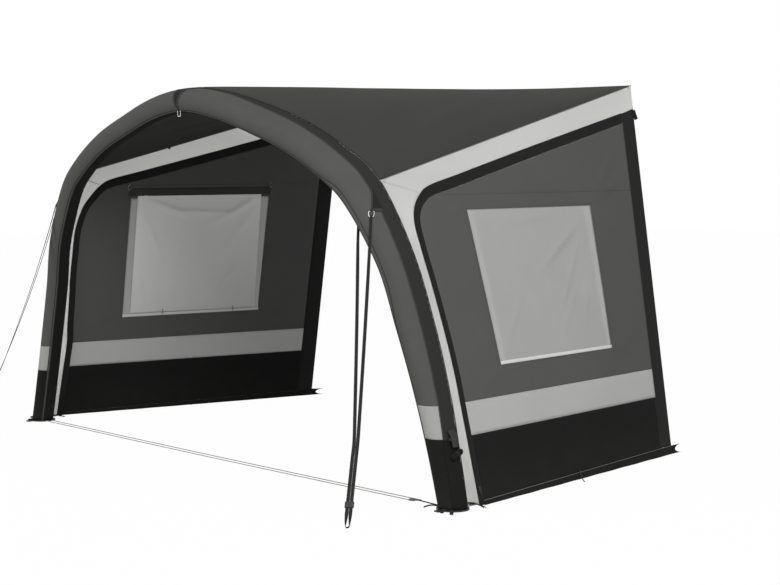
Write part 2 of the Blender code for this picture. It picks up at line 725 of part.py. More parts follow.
def build_side(side, word):
    strip_front = depth - rear_strip
    zip_outer, zip_inner = zip_outline(side)
    wall_front = zip_inner[zip_straight_steps][0]
    outer = side_points(side, zip_outer)
    inner = side_points(side, zip_inner)
    half_gap = butt_gap / 2
    fin = [fin_row_point(t, level) for t, level in all_rows if t * side >= shoulder_index]
    if side > 0:
        fin.reverse()
    fin.insert(-1, fin[-2].lerp(fin[-1], 0.5))
    levels = sorted(level for t, level in all_rows if level is not None and t > 0)
    leg_edge = [wall_point(side, zip_outer[0][0], level) for level in levels]
    leg_edge += outer[zip_straight_steps + 1:corner_index + 1]
    loft(f"trim_leg_{word}", fin, leg_edge, 2, light_grey, (seam_inset, fold_gap, 0, half_gap))
    tip = fin[-1]
    rail_end = Vector((side * rail_half, depth, rail_height))
    end_z = zip_run_height(side, depth)
    lower = outer[corner_index:] + [wall_point(side, depth, end_z)]
    upper = straight_line(tip, rail_end, len(lower))
    loft(f"trim_roof_{word}", upper, lower, 2, light_grey,
         (seam_inset, fold_gap, half_gap, beading_radius + 2 * running_gap))
    loft(f"zip_band_{word}", outer, inner, 1, zip_black, (half_gap, half_gap, 0, half_gap))

    # Grey panel around the window
    bottom_rear = (strip_front, stripe_top)
    window = [(window_bottom_front, window_bottom), (window_top_front, window_top),
              (window_top_rear, window_top), (window_bottom_rear, window_bottom)]
    front_side = zip_inner[zip_straight_steps:corner_index]
    top_side = zip_inner[corner_index - 1:]
    rear_side = [(strip_front, top_side[-1][1] + (stripe_top - top_side[-1][1]) * i / 4) for i in range(5)]
    bottom_side = [(strip_front + (wall_front - strip_front) * i / 5, stripe_top) for i in range(6)]
    outline, opening = [], []
    for k, run in enumerate((front_side, top_side, rear_side, bottom_side)):
        a, b = window[k], window[(k + 1) % 4]
        lengths = [0.0]
        for p, q in zip(run, run[1:]):
            lengths.append(lengths[-1] + math.hypot(q[0] - p[0], q[1] - p[1]))
        for point, walked in list(zip(run, lengths))[:-1]:
            s = walked / lengths[-1]
            outline.append(point)
            opening.append((a[0] + (b[0] - a[0]) * s, a[1] + (b[1] - a[1]) * s))
    centre_y = (window_top_front + window_top_rear) / 2
    centre_z = (window_top + window_bottom) / 2
    rows = []
    for i in range(7):
        row = []
        for (oy, oz), (iy, iz) in zip(outline, opening):
            reach = math.hypot(oy - iy, oz - iz)
            s = half_gap / reach + (1 - 2 * half_gap / reach) * i / 6
            row.append(wall_point(side, iy + (oy - iy) * s, iz + (oz - iz) * s))
        rows.append(row)
    grid_sheet(f"wall_panel_{word}", rows, wall_grey, closed=True)

    # Clear film in the opening, set in by the seam gap
    film = [(y + math.copysign(butt_gap, centre_y - y), z + math.copysign(butt_gap, centre_z - z))
            for y, z in window]
    film_top = straight_line(wall_point(side, *film[1]), wall_point(side, *film[2]), 6)
    film_bottom = straight_line(wall_point(side, *film[0]), wall_point(side, *film[3]), 6)
    loft(f"window_film_{word}", film_top, film_bottom, 5, window_clear, thickness=film_thickness)

    # Stripe, mud wall, hem and rear strip
    level_edge = [(wall_front + (strip_front - wall_front) * i / 6) for i in range(7)]

    def level(height):
        return [wall_point(side, y, height) for y in level_edge]

    loft(f"wall_stripe_{word}", level(stripe_top), level(stripe_bottom), 1, stripe_grey,
         (half_gap, half_gap, half_gap, half_gap))
    hem_line = [wall_point(side, y, hem_height(y)) for y in level_edge]
    loft(f"mud_wall_{word}", level(stripe_bottom), hem_line, 2, mud_black,
         (half_gap, half_gap, half_gap, half_gap))
    rows = []
    for j in range(4):
        s = j / 3
        reach = skirt_reach - skirt_dent * math.sin(math.pi * s)
        places = [wall_front + half_gap + (strip_front - wall_front) * i / 6 for i in range(7)]
        places += [depth, depth + reach]
        heights = [hem_floor + (hem_height(y) - half_gap - hem_floor) * s for y in places]
        rows.append([wall_point(side, y, z) for y, z in zip(places, heights)])
    grid_sheet(f"hem_{word}", rows, mud_black)
    pad_front = [wall_point(side, strip_front, hem_height(strip_front)),
                 wall_point(side, strip_front, zip_outer[-1][1])]
    pad_rear = [wall_point(side, depth, hem_height(depth)), wall_point(side, depth, end_z)]
    shift = Vector((-side * (foam - cloth) / 2, 0, 0))
    front_line = [p + shift for p in straight_line(*pad_front, 6)]
    rear_line = [p + shift for p in straight_line(*pad_rear, 6)]
    loft(f"rear_pad_{word}", front_line, rear_line, 1, zip_black,
         (half_gap, 0, half_gap, foam / 2), foam)
    build_curtain(side, word)
    build_slider(side, word, zip_outer[0][0] + zip_width_leg / 2)
    return rail_end


def build_curtain(side, word):
    # Cloth hung from its header, with folds that fall from the two top corners
    columns, rows_count = 28, 14
    rows = []
    for i in range(rows_count + 1):
        s = i / rows_count
        z = curtain_top + (curtain_bottom - curtain_top) * s
        front = curtain_top_front + (curtain_bottom_front - curtain_top_front) * s
        rear = curtain_top_rear + (curtain_bottom_rear - curtain_top_rear) * s
        hang = -header_standoff - (curtain_standoff - header_standoff) * min(1, 10 * s)
        row = []
        for j in range(columns + 1):
            u = j / columns
            swell = math.sin(math.pi * s) * (fold_edge_share + (1 - fold_edge_share) * math.sin(math.pi * u))
            wave = (1 - math.cos(2 * math.pi * fold_waves * (u + fold_drift_share * s))) / 2
            row.append(wall_point(side, front + (rear - front) * u, z, hang - fold_depth * wave * swell))
        rows.append(row)
    places = [header_front + (header_rear - header_front) * j / columns for j in range(columns + 1)]
    header = [[wall_point(side, y, z, -header_standoff) for y in places] for z in (header_high, header_low)]
    rows = header + [row for row in rows if row[0].z < header_low - curtain_cloth]
    grid_sheet(f"curtain_{word}", rows, curtain_cloth_grey, curtain_cloth)


def build_slider(side, word, y):
    # The slider rides on the straight leg of the zip; its pull hangs from two ears
    low, high = wall_point(side, y, 0), wall_point(side, y, stripe_top)
    up = (high - low).normalized()
    forward = wall_point(side, y - zip_width_leg, slider_height) - wall_point(side, y, slider_height)
    out = up.cross(forward).normalized() * side
    across = up.cross(out)
    place = wall_point(side, y, slider_height) + out * (cloth / 2 + running_gap + slider_thickness / 2)
    matrix = axes_matrix(place, out, across, up)
    block = box_mesh("slider", slider_thickness, slider_width, slider_length)
    slider = add_object(f"zip_slider_{word}", block, black_plastic)
    slider.matrix_local = matrix
    bevel = slider.modifiers.new("edges", "BEVEL")
    bevel.width = slider_thickness / 5
    bevel.segments = 1
    ear_reach = slider_thickness / 2 + ear_height / 2
    for sign in (-1, 1):
        offset = sign * (pull_width / 2 + running_gap + ear_thickness / 2)
        middle = (ear_reach - ear_height / 2, offset, 0)
        ear = box_mesh("ear", 2 * ear_height, ear_thickness, ear_height, middle)
        combine(slider, cutter(f"ear_{word}_{sign + 1}", ear, matrix), "UNION")
    pivot = place + out * (slider_thickness / 2 + ear_height / 2)
    barrel = cylinder_mesh("barrel", pull_radius, pull_width, 12)
    pull = add_object(f"zip_pull_{word}", barrel, black_plastic)
    turn = axes_matrix(pivot, out, -up, across)
    pull.matrix_local = turn
    plate = box_mesh("plate", pull_thickness, pull_length, pull_width, (0, pull_length / 2, 0))
    combine(pull, cutter(f"pull_plate_{word}", plate, turn), "UNION")


def build_foot(side, word):
    centre = arch_centre(side * arch_segments)
    place = Vector((centre.x, centre.y, foot_thickness / 2))
    disc = cylinder_mesh("foot", foot_radius, foot_thickness, 20)
    foot = add_object(f"foot_plate_{word}", disc, black_plastic)
    foot.location = place
    tab_reach = foot_radius + foot_tab_length / 2
    tab = box_mesh(
        "tab", foot_tab_width, 2 * foot_tab_length, foot_thickness, (0, foot_tab_length / 2 - tab_reach, 0))
    combine(foot, cutter(f"foot_tab_{word}", tab, Matrix.Translation(place)), "UNION")
    slot = box_mesh(
        "slot", foot_slot_width, foot_slot_length, 3 * foot_thickness, (0, -tab_reach, 0))
    combine(foot, cutter(f"foot_slot_{word}", slot, Matrix.Translation(place)), "DIFFERENCE")


def ring_points(half, drop):
    # A D ring: straight bar along x at the top, sides that draw in, and a straight foot at -z
    right = [(half * x, -drop * z) for x, z in zip(ring_x_shares, ring_z_shares)]
    left = [(-x, z) for x, z in reversed(right)]
    return [Vector((x, 0, z)) for x, z in right + left]


def surface_point(t, share, face, lift):
    # On the facets that the sleeve's rows make, not on the smooth curve between them
    low = math.floor(2 * t) / 2
    below, above = section(low, share, face, lift), section(low + 0.5, share, face, lift)
    return below.lerp(above, 2 * (t - low))


def facet_point(t, column, lift):
    # The same, by the columns of the front panel and, past its last one, of the outer panel
    def corner(step, number):
        start, end, place = inner_start(step), seam_low(step), number / front_columns
        if number > front_columns:
            start, end = seam_high(step), front_end(step)
            place = (number - front_columns) / outer_columns
        return section(step, start + (end - start) * place, "front", lift)

    low_t, low_column = math.floor(2 * t) / 2, math.floor(column)
    rest_t, rest_column = 2 * (t - low_t), column - low_column
    below = corner(low_t, low_column).lerp(corner(low_t, low_column + 1), rest_column)
    above = corner(low_t + 0.5, low_column).lerp(corner(low_t + 0.5, low_column + 1), rest_column)
    return below.lerp(above, rest_t)


def build_patch(name, t_from, t_to, t_tip, top_column, tip_column, pull):
    # Triangle of dark cloth over the sleeve's front, with an eye at its tip for a ring
    lift = cloth + 2 * running_gap
    step = (arch_centre(t_tip + 0.5) - arch_centre(t_tip)).length * 2
    tip_half = math.copysign(patch_tip_half / step, t_to - t_from)
    whole_columns = range(math.ceil(top_column) - 1, math.floor(tip_column), -1)
    columns = [top_column, *whole_columns, tip_column]
    rows = []
    for column in columns:
        s = (top_column - column) / (top_column - tip_column)
        start = t_from + (t_tip - tip_half - t_from) * s
        end = t_to + (t_tip + tip_half - t_to) * s
        rows.append([facet_point(start + (end - start) * j / 4, column, lift) for j in range(5)])
    patch = grid_sheet(name, rows, side_grey)
    tip = facet_point(t_tip, tip_column, lift)
    bar_step = facet_point(t_tip, tip_column + 0.5, lift) - facet_point(t_tip, tip_column - 0.5, lift)
    along_step = facet_point(t_tip + 0.1, tip_column, lift) - facet_point(t_tip - 0.1, tip_column, lift)
    radial = bar_step.cross(along_step).normalized()
    radial = radial if radial.dot(tip - arch_centre(t_tip)) > 0 else -radial
    bar = radial.cross(pull).normalized()
    eye_place = tip + radial * eye_radius
    matrix = axes_matrix(eye_place, radial, bar.cross(radial), bar)
    combine(patch, cutter(f"{name}_eye", cylinder_mesh("eye", eye_radius, eye_length, 12), matrix), "UNION")
    bore = cylinder_mesh("bore", ring_wire + 2 * running_gap, 2 * eye_length, 12)
    combine(patch, cutter(f"{name}_bore", bore, matrix), "DIFFERENCE")
    return eye_place, bar, radial


def build_ring(name, place, bar, hang, radial):
    # The bar lies in the patch's eye and the foot hangs along the given direction, clear of the sleeve
    down = (hang - bar * hang.dot(bar)).normalized()
    sunk = min(0, down.dot(radial) - ring_lean)
    down = (down - radial * sunk).normalized()
    matrix = axes_matrix(place, bar, bar.cross(down), -down)
    points = [matrix @ p - place for p in ring_points(ring_half, ring_drop)]
    ring = tube(name, points, ring_wire, steel, 1, True)
    ring.location = place
    return place + down * ring_drop, down


def peg_place(side):
    return Vector((peg_right_x, peg_right_y, 0)) if side > 0 else Vector((peg_left_x, peg_left_y, 0))


def build_storm_strap(side, word, bow, bar, hang):
    # One webbing: sewn round the ring, down through the buckle, round the peg and back up to the sleeve
    foot = peg_place(side) + Vector((0, 0, loop_floor))
    straight = (foot - bow).normalized()
    back = Vector((-straight.x, -straight.y, 0)).normalized()
    width_axis = Vector((straight.y, -straight.x, 0)).normalized()
    width_axis = width_axis if width_axis.x * side > 0 else -width_axis
    lower = loop_length + strap_buckle_length / 2 + strap_straight
    split = foot - straight * lower + back * strap_sag
    down = (foot - split).normalized()
    bar = bar if bar.dot(width_axis) > 0 else -bar
    centre = arch_centre(side * shoulder_t)
    away = bar.cross(hang).normalized()
    away = away if away.dot(bow - centre) > 0 else -away
    wrap = ring_wire + running_gap + webbing_thickness / 2
    rows = [(bow - away * wrap + hang * strap_tail, bar, strap_top_width)]
    for i in range(7):
        angle = math.pi * (i / 6)
        place = bow - away * wrap * math.cos(angle) - hang * wrap * math.sin(angle)
        rows.append((place, bar, strap_top_width))
    start = bow + away * wrap
    buckle_place = foot - down * (loop_length + strap_buckle_length / 2)
    offset = width_axis * (strap_spacing / 2)

    def blend(a, b, share):
        return a.lerp(b, share).normalized()

    for i in range(1, 10):
        s = i / 9
        ease = min(1, 3 * s)
        width = strap_top_width + (webbing_width - strap_top_width) * ease
        hang_back = back * strap_sag * strap_bow_share * 4 * s * (1 - s)
        rows.append((start.lerp(split + offset, s) + hang_back, blend(bar, width_axis, ease), width))
    bottom = foot - down * (loop_length * loop_turn_share)
    for i in range(1, 5):
        rows.append((split.lerp(bottom, i / 4) + offset, width_axis, webbing_width))
    flat = width_axis.cross(down)
    turn_centre = foot - down * loop_half
    for i in range(1, 6):
        angle = math.pi / 2 * i / 5
        place = (bottom + offset).lerp(turn_centre + width_axis * loop_half, i / 5)
        rows.append((place, width_axis * math.cos(angle) + flat * math.sin(angle), webbing_width))
    for i in range(1, 6):
        angle = math.pi * i / 6
        place = turn_centre + width_axis * loop_half * math.cos(angle) + down * loop_half * math.sin(angle)
        rows.append((place, flat, webbing_width))
    for i in range(0, 5):
        angle = math.pi / 2 * (1 - i / 5)
        place = (turn_centre - width_axis * loop_half).lerp(bottom - offset, i / 5)
        rows.append((place, width_axis * math.cos(angle) + flat * math.sin(angle), webbing_width))
    for i in range(0, 5):
        rows.append((bottom.lerp(split, i / 4) - offset, width_axis, webbing_width))
    lift = cloth / 2 + 2 * running_gap + webbing_thickness / 2
    sewn_t = sewn_right_t if side > 0 else sewn_left_t
    if side > 0:
        low = surface_point(sewn_t, sewn_right_share, "inner", lift)
        high = surface_point(sewn_t - sewn_reach, sewn_right_share, "inner", lift)
    else:
        low = facet_point(-sewn_t, sewn_left_column, lift)
        high = facet_point(sewn_reach - sewn_t, sewn_left_column, lift)
    normal = (low - arch_centre(side * sewn_t)).normalized()
    lie = normal.cross(high - low).normalized()
    lie = lie if lie.dot(width_axis) > 0 else -lie
    for i in range(1, 9):
        s = i / 9
        place = (split - offset).lerp(low, s) + back * strap_sag * strap_bow_share * 4 * s * (1 - s)
        rows.append((place, blend(width_axis, lie, max(0, 3 * s - 2)), webbing_width))
    rows += [(low, lie, webbing_width), (high, lie, webbing_width)]
    sheet = [[place - axis * width / 2, place + axis * width / 2] for place, axis, width in rows]
    grid_sheet(f"storm_strap_{word}", sheet, webbing_black, webbing_thickness)

    # Buckle that keeps both runs together and slides on them
    normal = width_axis.cross(down)
    matrix = axes_matrix(buckle_place, width_axis, normal, width_axis.cross(normal))
    buckle = add_object(
        f"storm_buckle_{word}",
        box_mesh("buckle", strap_buckle_width, strap_buckle_thickness, strap_buckle_length), black_plastic)
    buckle.matrix_local = matrix
    slot = box_mesh(
        "slot", strap_spacing + webbing_width + 2 * strap_slot_ease, webbing_thickness + 2 * strap_slot_ease,
        2 * strap_buckle_length)
    combine(buckle, cutter(f"buckle_slot_{word}", slot, matrix), "DIFFERENCE")


def build_ground_cord():
    left = arch_centre(-arch_segments)
    right = arch_centre(arch_segments)
    start_x = left.x + math.sqrt(foot_radius**2 - cord_half_spacing**2) + 2 * running_gap
    y = left.y
    runs = 16
    points = []
    for i in range(runs + 1):
        s = i / runs
        rest = min(1.0, 4 * min(s, 1 - s))
        z = cord_height - (cord_height - cord_radius) * rest
        points.append(Vector((start_x + (ground_buckle_x - start_x) * s, y - cord_half_spacing, z)))
    bow = [Vector((ground_buckle_x + cord_half_spacing * math.sin(math.pi * i / 10),
                   y - cord_half_spacing * math.cos(math.pi * i / 10), cord_height)) for i in range(1, 10)]
    back = [Vector((p.x, 2 * y - p.y, p.z)) for p in reversed(points)]
    tube("ground_cord", points + bow + back, cord_radius, cord_grey, 2)
    thimble_radius = cord_half_spacing - cord_radius - running_gap
    buckle = add_object(
        "ground_buckle", cylinder_mesh("thimble", thimble_radius, thimble_height, 16), black_plastic)
    buckle.location = (ground_buckle_x, y, cord_height + cord_radius - thimble_height / 2 + running_gap)
    top = cord_height + cord_radius + running_gap
    plate = box_mesh("plate", thimble_radius + buckle_reach, buckle_width, buckle_plate,
                     (buckle_reach / 2, 0, buckle_plate / 2))
    plate_place = Matrix.Translation((ground_buckle_x, y, top - running_gap / 3))
    combine(buckle, cutter("ground_buckle_plate", plate, plate_place), "UNION")
    plate_end = ground_buckle_x + buckle_reach + thimble_radius / 2
    webbing_end = right.x - foot_radius - 2 * running_gap
    middle = top + buckle_plate / 2 - running_gap / 3
    low = foot_thickness / 2
    points = []
    for i in range(7):
        s = i / 6
        x = plate_end + running_gap + (webbing_end - plate_end - running_gap) * s
        points.append(Vector((x, y, middle + (low - middle) * s)))
    half_width = Vector((0, webbing_width / 2, 0))
    sheet = [[point - half_width, point + half_width] for point in points]
    grid_sheet("ground_webbing", sheet, webbing_black, webbing_thickness)


def build_roof(rail_ends):
    front = [fin_point(t)[0] for t in stations if abs(t) <= shoulder_index]
    rear = straight_line(rail_ends[0], rail_ends[1], len(front))
    walked = [0.0]
    for a, b in zip(front, front[1:]):
        walked.append(walked[-1] + (b - a).length)
    rear = [rail_ends[0].lerp(rail_ends[1], w / walked[-1]) for w in walked]
    edge_gap = 3 * butt_gap
    loft("roof_panel", front, rear, 7, roof_grey,
         (seam_inset, beading_radius + 2 * running_gap, edge_gap, edge_gap))
    tube("rail_beading", rail_ends, beading_radius, black_plastic, 2)


bladder = build_bladder()
outer_panel = build_sleeve()
build_valve(bladder, outer_panel)
rail_ends = []
for side, word in ((-1, "left"), (1, "right")):
    rail_ends.append(build_side(side, word))
    build_foot(side, word)
    pull = peg_place(side) - facet_point(side * shoulder_t, shoulder_column, 0)
    eye, bar, radial = build_patch(
        f"shoulder_patch_{word}", side * shoulder_from, side * shoulder_to, side * shoulder_t,
        shoulder_top_column, shoulder_column, pull)
    bow, hang = build_ring(f"shoulder_ring_{word}", eye, bar, pull, radial)
    build_storm_strap(side, word, bow, bar, hang)
build_roof(rail_ends)
downwards = Vector((0, 0, -1))
apex_eye, apex_bar, apex_radial = build_patch(
    "apex_patch", -apex_half, apex_half, 0, apex_top_column, apex_column, downwards)
build_ring("apex_ring", apex_eye, apex_bar, downwards, apex_radial)
build_ground_cord()

# The origin empty moves everything so that the middle of the awning's depth lies over the origin
front_reach = foot_forward + lean_length + sleeve_radius
rear_reach = depth + skirt_reach
origin.location = (0, (front_reach - rear_reach) / 2, 0)
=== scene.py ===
# Looks of an air-arch awning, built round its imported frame. Metres, +Z up, +Y towards its rail.
import math

import bmesh
import bpy
import numpy as np
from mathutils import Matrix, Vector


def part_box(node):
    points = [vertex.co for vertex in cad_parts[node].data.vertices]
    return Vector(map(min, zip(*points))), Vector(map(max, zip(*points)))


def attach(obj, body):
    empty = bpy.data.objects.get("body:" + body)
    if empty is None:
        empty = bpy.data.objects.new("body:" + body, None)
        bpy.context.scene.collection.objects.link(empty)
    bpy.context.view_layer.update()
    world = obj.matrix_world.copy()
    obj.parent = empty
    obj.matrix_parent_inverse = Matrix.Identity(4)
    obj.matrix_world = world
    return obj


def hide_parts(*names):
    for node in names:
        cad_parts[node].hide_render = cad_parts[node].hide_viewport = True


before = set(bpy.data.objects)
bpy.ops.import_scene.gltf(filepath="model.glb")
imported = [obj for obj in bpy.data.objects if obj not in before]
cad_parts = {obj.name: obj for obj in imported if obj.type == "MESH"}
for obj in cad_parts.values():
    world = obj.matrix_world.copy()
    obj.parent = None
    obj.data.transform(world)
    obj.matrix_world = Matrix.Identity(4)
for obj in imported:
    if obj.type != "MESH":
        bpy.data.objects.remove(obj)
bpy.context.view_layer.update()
scene = bpy.context.scene
print("frame loaded")

turn = 2 * math.pi
cloth = 0.0012       # thickness of the coated cloth
seamGap = 0.0002     # between two panels that meet
foldGap = 0.0006     # between two that meet at an angle
bothSides = ((-1, "left"), (1, "right"))

view = {"place": (9.283, -7.816, 1.994), "yaw": 48.28, "pitch": -4.49, "lens": 80.68, "sensor": 36.0,
        "clipEnd": 200}


def makeCamera():
    # level, then tipped by the pitch and turned by the yaw
    camera = bpy.data.objects.new("camera", bpy.data.cameras.new("camera"))
    camera.data.lens = view["lens"]
    camera.data.sensor_width = view["sensor"]
    camera.data.clip_end = view["clipEnd"]
    camera.location = view["place"]
    camera.rotation_euler = (math.radians(90 + view["pitch"]), 0, math.radians(view["yaw"]))
    scene.collection.objects.link(camera)
    scene.camera = camera


makeCamera()


# Small tools for arrays of points

def unit(v):
    # each vector over its own length
    return v / np.linalg.norm(v, axis=-1, keepdims=True)


def ease(x, low=0.0, high=1.0):
    # 0 below low, 1 above high, and a smooth step between them
    s = np.clip((np.asarray(x, float) - low) / (high - low), 0, 1)
    return s * s * (3 - 2 * s)


def easeOff(x, low, high):
    # 1 below low, 0 above high
    return ease(-np.asarray(x, float), -high, -low)


def waves(u, v, seed, size, count=7):
    # mean of sine waves in random directions, each about `size` long
    draw = np.random.default_rng(seed)
    total = 0.0
    for _ in range(count):
        heading, phase = draw.uniform(0, turn), draw.uniform(0, turn)
        length = size * draw.uniform(0.7, 1.6)
        total = total + np.sin(turn * (u * math.cos(heading) + v * math.sin(heading)) / length + phase)
    return total / count


def ridges(u, v, creases):
    # each crease is a bell-shaped ridge along a line: start, end, height, half width
    total = 0.0
    for start, end, height, half in creases:
        a, b = np.array(start), np.array(end)
        d = b - a
        s = np.clip(((u - a[0]) * d[0] + (v - a[1]) * d[1]) / (d @ d), 0, 1)
        off = np.hypot(u - a[0] - s * d[0], v - a[1] - s * d[1])
        total = total + height * np.exp(-(off / half) ** 2) * np.sin(math.pi * np.clip(s, 0.02, 0.98))
    return total


def smoothPath(points, perStep=4):
    # Catmull-Rom curve through the points, the same number of samples between each two
    p = np.asarray(points, float)
    p = np.concatenate([[2 * p[0] - p[1]], p, [2 * p[-1] - p[-2]]])
    steps = len(p) - 3
    t = np.linspace(0, steps, steps * perStep + 1)
    i = np.minimum(t.astype(int), steps - 1)
    s = (t - i)[:, None]
    a, b, c, d = p[i], p[i + 1], p[i + 2], p[i + 3]
    return 0.5 * (2 * b + (c - a) * s + (2 * a - 5 * b + 4 * c - d) * s**2 + (3 * b - a - 3 * c + d) * s**3)


def lengths(points):
    # distance walked along the line up to each of its points
    step = np.linalg.norm(np.diff(points, axis=0), axis=-1)
    return np.concatenate([[0], np.cumsum(step)])


def resample(points, count):
    # as many points, evenly spaced along the line
    walked = lengths(points)
    want = np.linspace(0, walked[-1], count)
    return np.stack([np.interp(want, walked, points[:, k]) for k in range(points.shape[1])], -1)


def between(a, b, columns):
    # grid of straight rows from line a to line b
    s = np.linspace(0, 1, columns + 1)[None, :, None]
    return a[:, None] + (b - a)[:, None] * s


def gridNormals(grid):
    # cross product of the slopes down the columns and along the rows
    return unit(np.cross(np.gradient(grid, axis=0), np.gradient(grid, axis=1)))


# Materials: colours are linear, patterns read the pieces' own UV maps in metres or Object coordinates

def addNode(tree, kind, values=(), **settings):
    # values that are sockets are linked, the others become the inputs' defaults
    made = tree.nodes.new("ShaderNode" + kind)
    for key, value in settings.items():
        setattr(made, key, value)
    for key, value in dict(values).items():
        if isinstance(value, bpy.types.NodeSocket):
            tree.links.new(value, made.inputs[key])
        else:
            made.inputs[key].default_value = value
    return made


def calc(tree, operation, a, b=0.0):
    # one step of arithmetic between two sockets or numbers
    return addNode(tree, "Math", {0: a, 1: b}, operation=operation).outputs[0]


def startMaterial(name, colour, roughness, **sockets):
    # plain colour and roughness, then any other socket by its name with _ for a space
    material = bpy.data.materials.new(name)
    material.use_nodes = True
    shader = material.node_tree.nodes["Principled BSDF"]
    shader.inputs["Base Color"].default_value = (*colour, 1)
    shader.inputs["Roughness"].default_value = roughness
    for key, value in sockets.items():
        shader.inputs[key.replace("_", " ")].default_value = value
    return material, material.node_tree, shader


def noise(tree, scale, detail=3.0, coordinates=None):
    # fractal noise over the object's own metres
    where = coordinates or addNode(tree, "TexCoord").outputs["Object"]
    return addNode(tree, "TexNoise", {"Vector": where, "Scale": scale, "Detail": detail}).outputs[0]


def around(tree, value, middle, spread):
    # turns a 0..1 pattern into middle plus or minus spread
    return calc(tree, "ADD", calc(tree, "MULTIPLY", calc(tree, "SUBTRACT", value, 0.5), 2 * spread), middle)


def scaledColour(tree, colour, tone):
    # the colour times the tone
    return addNode(tree, "VectorMath", {0: colour, "Scale": tone}, operation="SCALE").outputs[0]


def blendColour(tree, share, a, b):
    # a where the share is 0, b where it is 1
    made = addNode(tree, "Mix", data_type="RGBA")
    for socket, value in ((made.inputs[0], share), (made.inputs[6], a), (made.inputs[7], b)):
        if isinstance(value, bpy.types.NodeSocket):
            tree.links.new(value, socket)
        else:
            socket.default_value = value if isinstance(value, float) else (*value, 1)
    return made.outputs[2]


def addBump(tree, shader, height, distance, strength=0.6):
    # the height pattern times the distance, as relief in the shading
    bump = addNode(tree, "Bump", {"Height": height, "Distance": distance, "Strength": strength})
    tree.links.new(bump.outputs[0], shader.inputs["Normal"])


def objectHeight(tree):
    # height over the ground in metres
    return addNode(tree, "SeparateXYZ", {0: addNode(tree, "TexCoord").outputs["Object"]}).outputs[2]


def stitchPattern(tree, u, v, sewing):
    # 1 on the dashes of the sewing thread: its rows are distances across the tape
    walked = calc(tree, "FRACT", calc(tree, "DIVIDE", u, sewing["pitch"]))
    dash = calc(tree, "LESS_THAN", walked, sewing["dashShare"])
    found = None
    for row in sewing["rows"]:
        away = calc(tree, "ABSOLUTE", calc(tree, "SUBTRACT", v, row))
        near = calc(tree, "LESS_THAN", away, sewing["thread"] / 2)
        found = near if found is None else calc(tree, "MAXIMUM", found, near)
    return calc(tree, "MULTIPLY", dash, found)


clothLook = {   # what every cloth has in common: scales of its patterns, their strengths, and the dust
    "sheenRoughness": 0.45, "specular": 0.05, "fibreScale": 420.0, "mottleScale": 2.4, "patchScale": 9.0,
    "weaveTone": 0.05, "fibreMiddle": 0.001, "fibreTone": 0.06, "roughnessSpread": 0.06,
    "dustColour": (0.20, 0.19, 0.17), "threadHeight": 3.0,
}


def fabric(name, colour, weave=0.0014, mottle=0.10, roughness=0.90, sheen=0.015, dust=None, stitches=None,
           ribbed=False, depth=0.0003, lowerToneAndPaintedShade=None, **sockets):
    # plain weave: the product of a sine along and a sine across; ribbed webbing keeps only the sine along
    look = clothLook
    material, tree, shader = startMaterial(
        name, colour, roughness, Sheen_Weight=sheen, Sheen_Roughness=look["sheenRoughness"],
        Specular_IOR_Level=look["specular"], **sockets)
    split = addNode(tree, "SeparateXYZ", {0: addNode(tree, "TexCoord").outputs["UV"]})
    u, v = split.outputs[0], split.outputs[1]
    pattern = calc(tree, "SINE", calc(tree, "MULTIPLY", u, turn / weave))
    if not ribbed:
        crossing = calc(tree, "SINE", calc(tree, "MULTIPLY", v, turn / weave))
        pattern = calc(tree, "MULTIPLY", pattern, crossing)
    fibre = noise(tree, look["fibreScale"], 2.0)
    tone = around(tree, noise(tree, look["mottleScale"], 4.0), 1.0, mottle)
    tone = calc(tree, "ADD", tone, calc(tree, "MULTIPLY", pattern, look["weaveTone"]))
    tone = calc(tree, "ADD", tone, around(tree, fibre, look["fibreMiddle"], look["fibreTone"]))
    if lowerToneAndPaintedShade:
        # darker below: low level, high level, and the share of the colour that is left at the low one; on
        # the curtain this is painted shade, its lower part darker so that its top looks lit through the
        # film, and on the sleeve's side panel it darkens the cloth below the stripe's lower edge
        ramp = {0: objectHeight(tree), 1: lowerToneAndPaintedShade[0], 2: lowerToneAndPaintedShade[1], 3: lowerToneAndPaintedShade[2], 4: 1.0}
        left = addNode(tree, "MapRange", ramp).outputs[0]
        tone = calc(tree, "MULTIPLY", tone, left)
    shade = scaledColour(tree, colour, tone)
    height = calc(tree, "ADD", calc(tree, "MULTIPLY", pattern, 0.5), fibre)
    if dust:
        # grey dust thrown up from the ground: top height and share
        ramp = {0: objectHeight(tree), 1: 0.0, 2: dust[0], 3: dust[1], 4: 0.0}
        low = addNode(tree, "MapRange", ramp).outputs[0]
        patchy = calc(tree, "MULTIPLY", low, noise(tree, look["patchScale"], 5.0))
        shade = blendColour(tree, patchy, shade, look["dustColour"])
    if stitches:
        sewn = stitchPattern(tree, u, v, stitches)
        shade = blendColour(tree, sewn, shade, stitches["colour"])
        height = calc(tree, "ADD", height, calc(tree, "MULTIPLY", sewn, look["threadHeight"]))
    tree.links.new(shade, shader.inputs["Base Color"])
    tree.links.new(around(tree, fibre, roughness, look["roughnessSpread"]), shader.inputs["Roughness"])
    addBump(tree, shader, height, depth)
    return material


# patterns of the other finishes: noise scales and details, spreads of tone and roughness, bump depths
plasticLook = {"specular": 0.45, "grain": (1500.0, 2.0), "marks": (26.0, 5.0), "tone": 0.22,
               "roughness": 0.12, "depth": 0.0002}
steelLook = {"drawn": (900.0, 3.0), "marks": (60.0, 4.0), "tone": 0.05, "roughness": (0.30, 0.10),
             "depth": 0.00008}
filmLook = {"ior": 1.38, "specular": 0.4, "haze": (5.0, 4.0), "ripples": (30.0, 3.0), "tone": 0.05,
            "roughness": 0.08, "depth": 0.0006, "strength": 0.4}


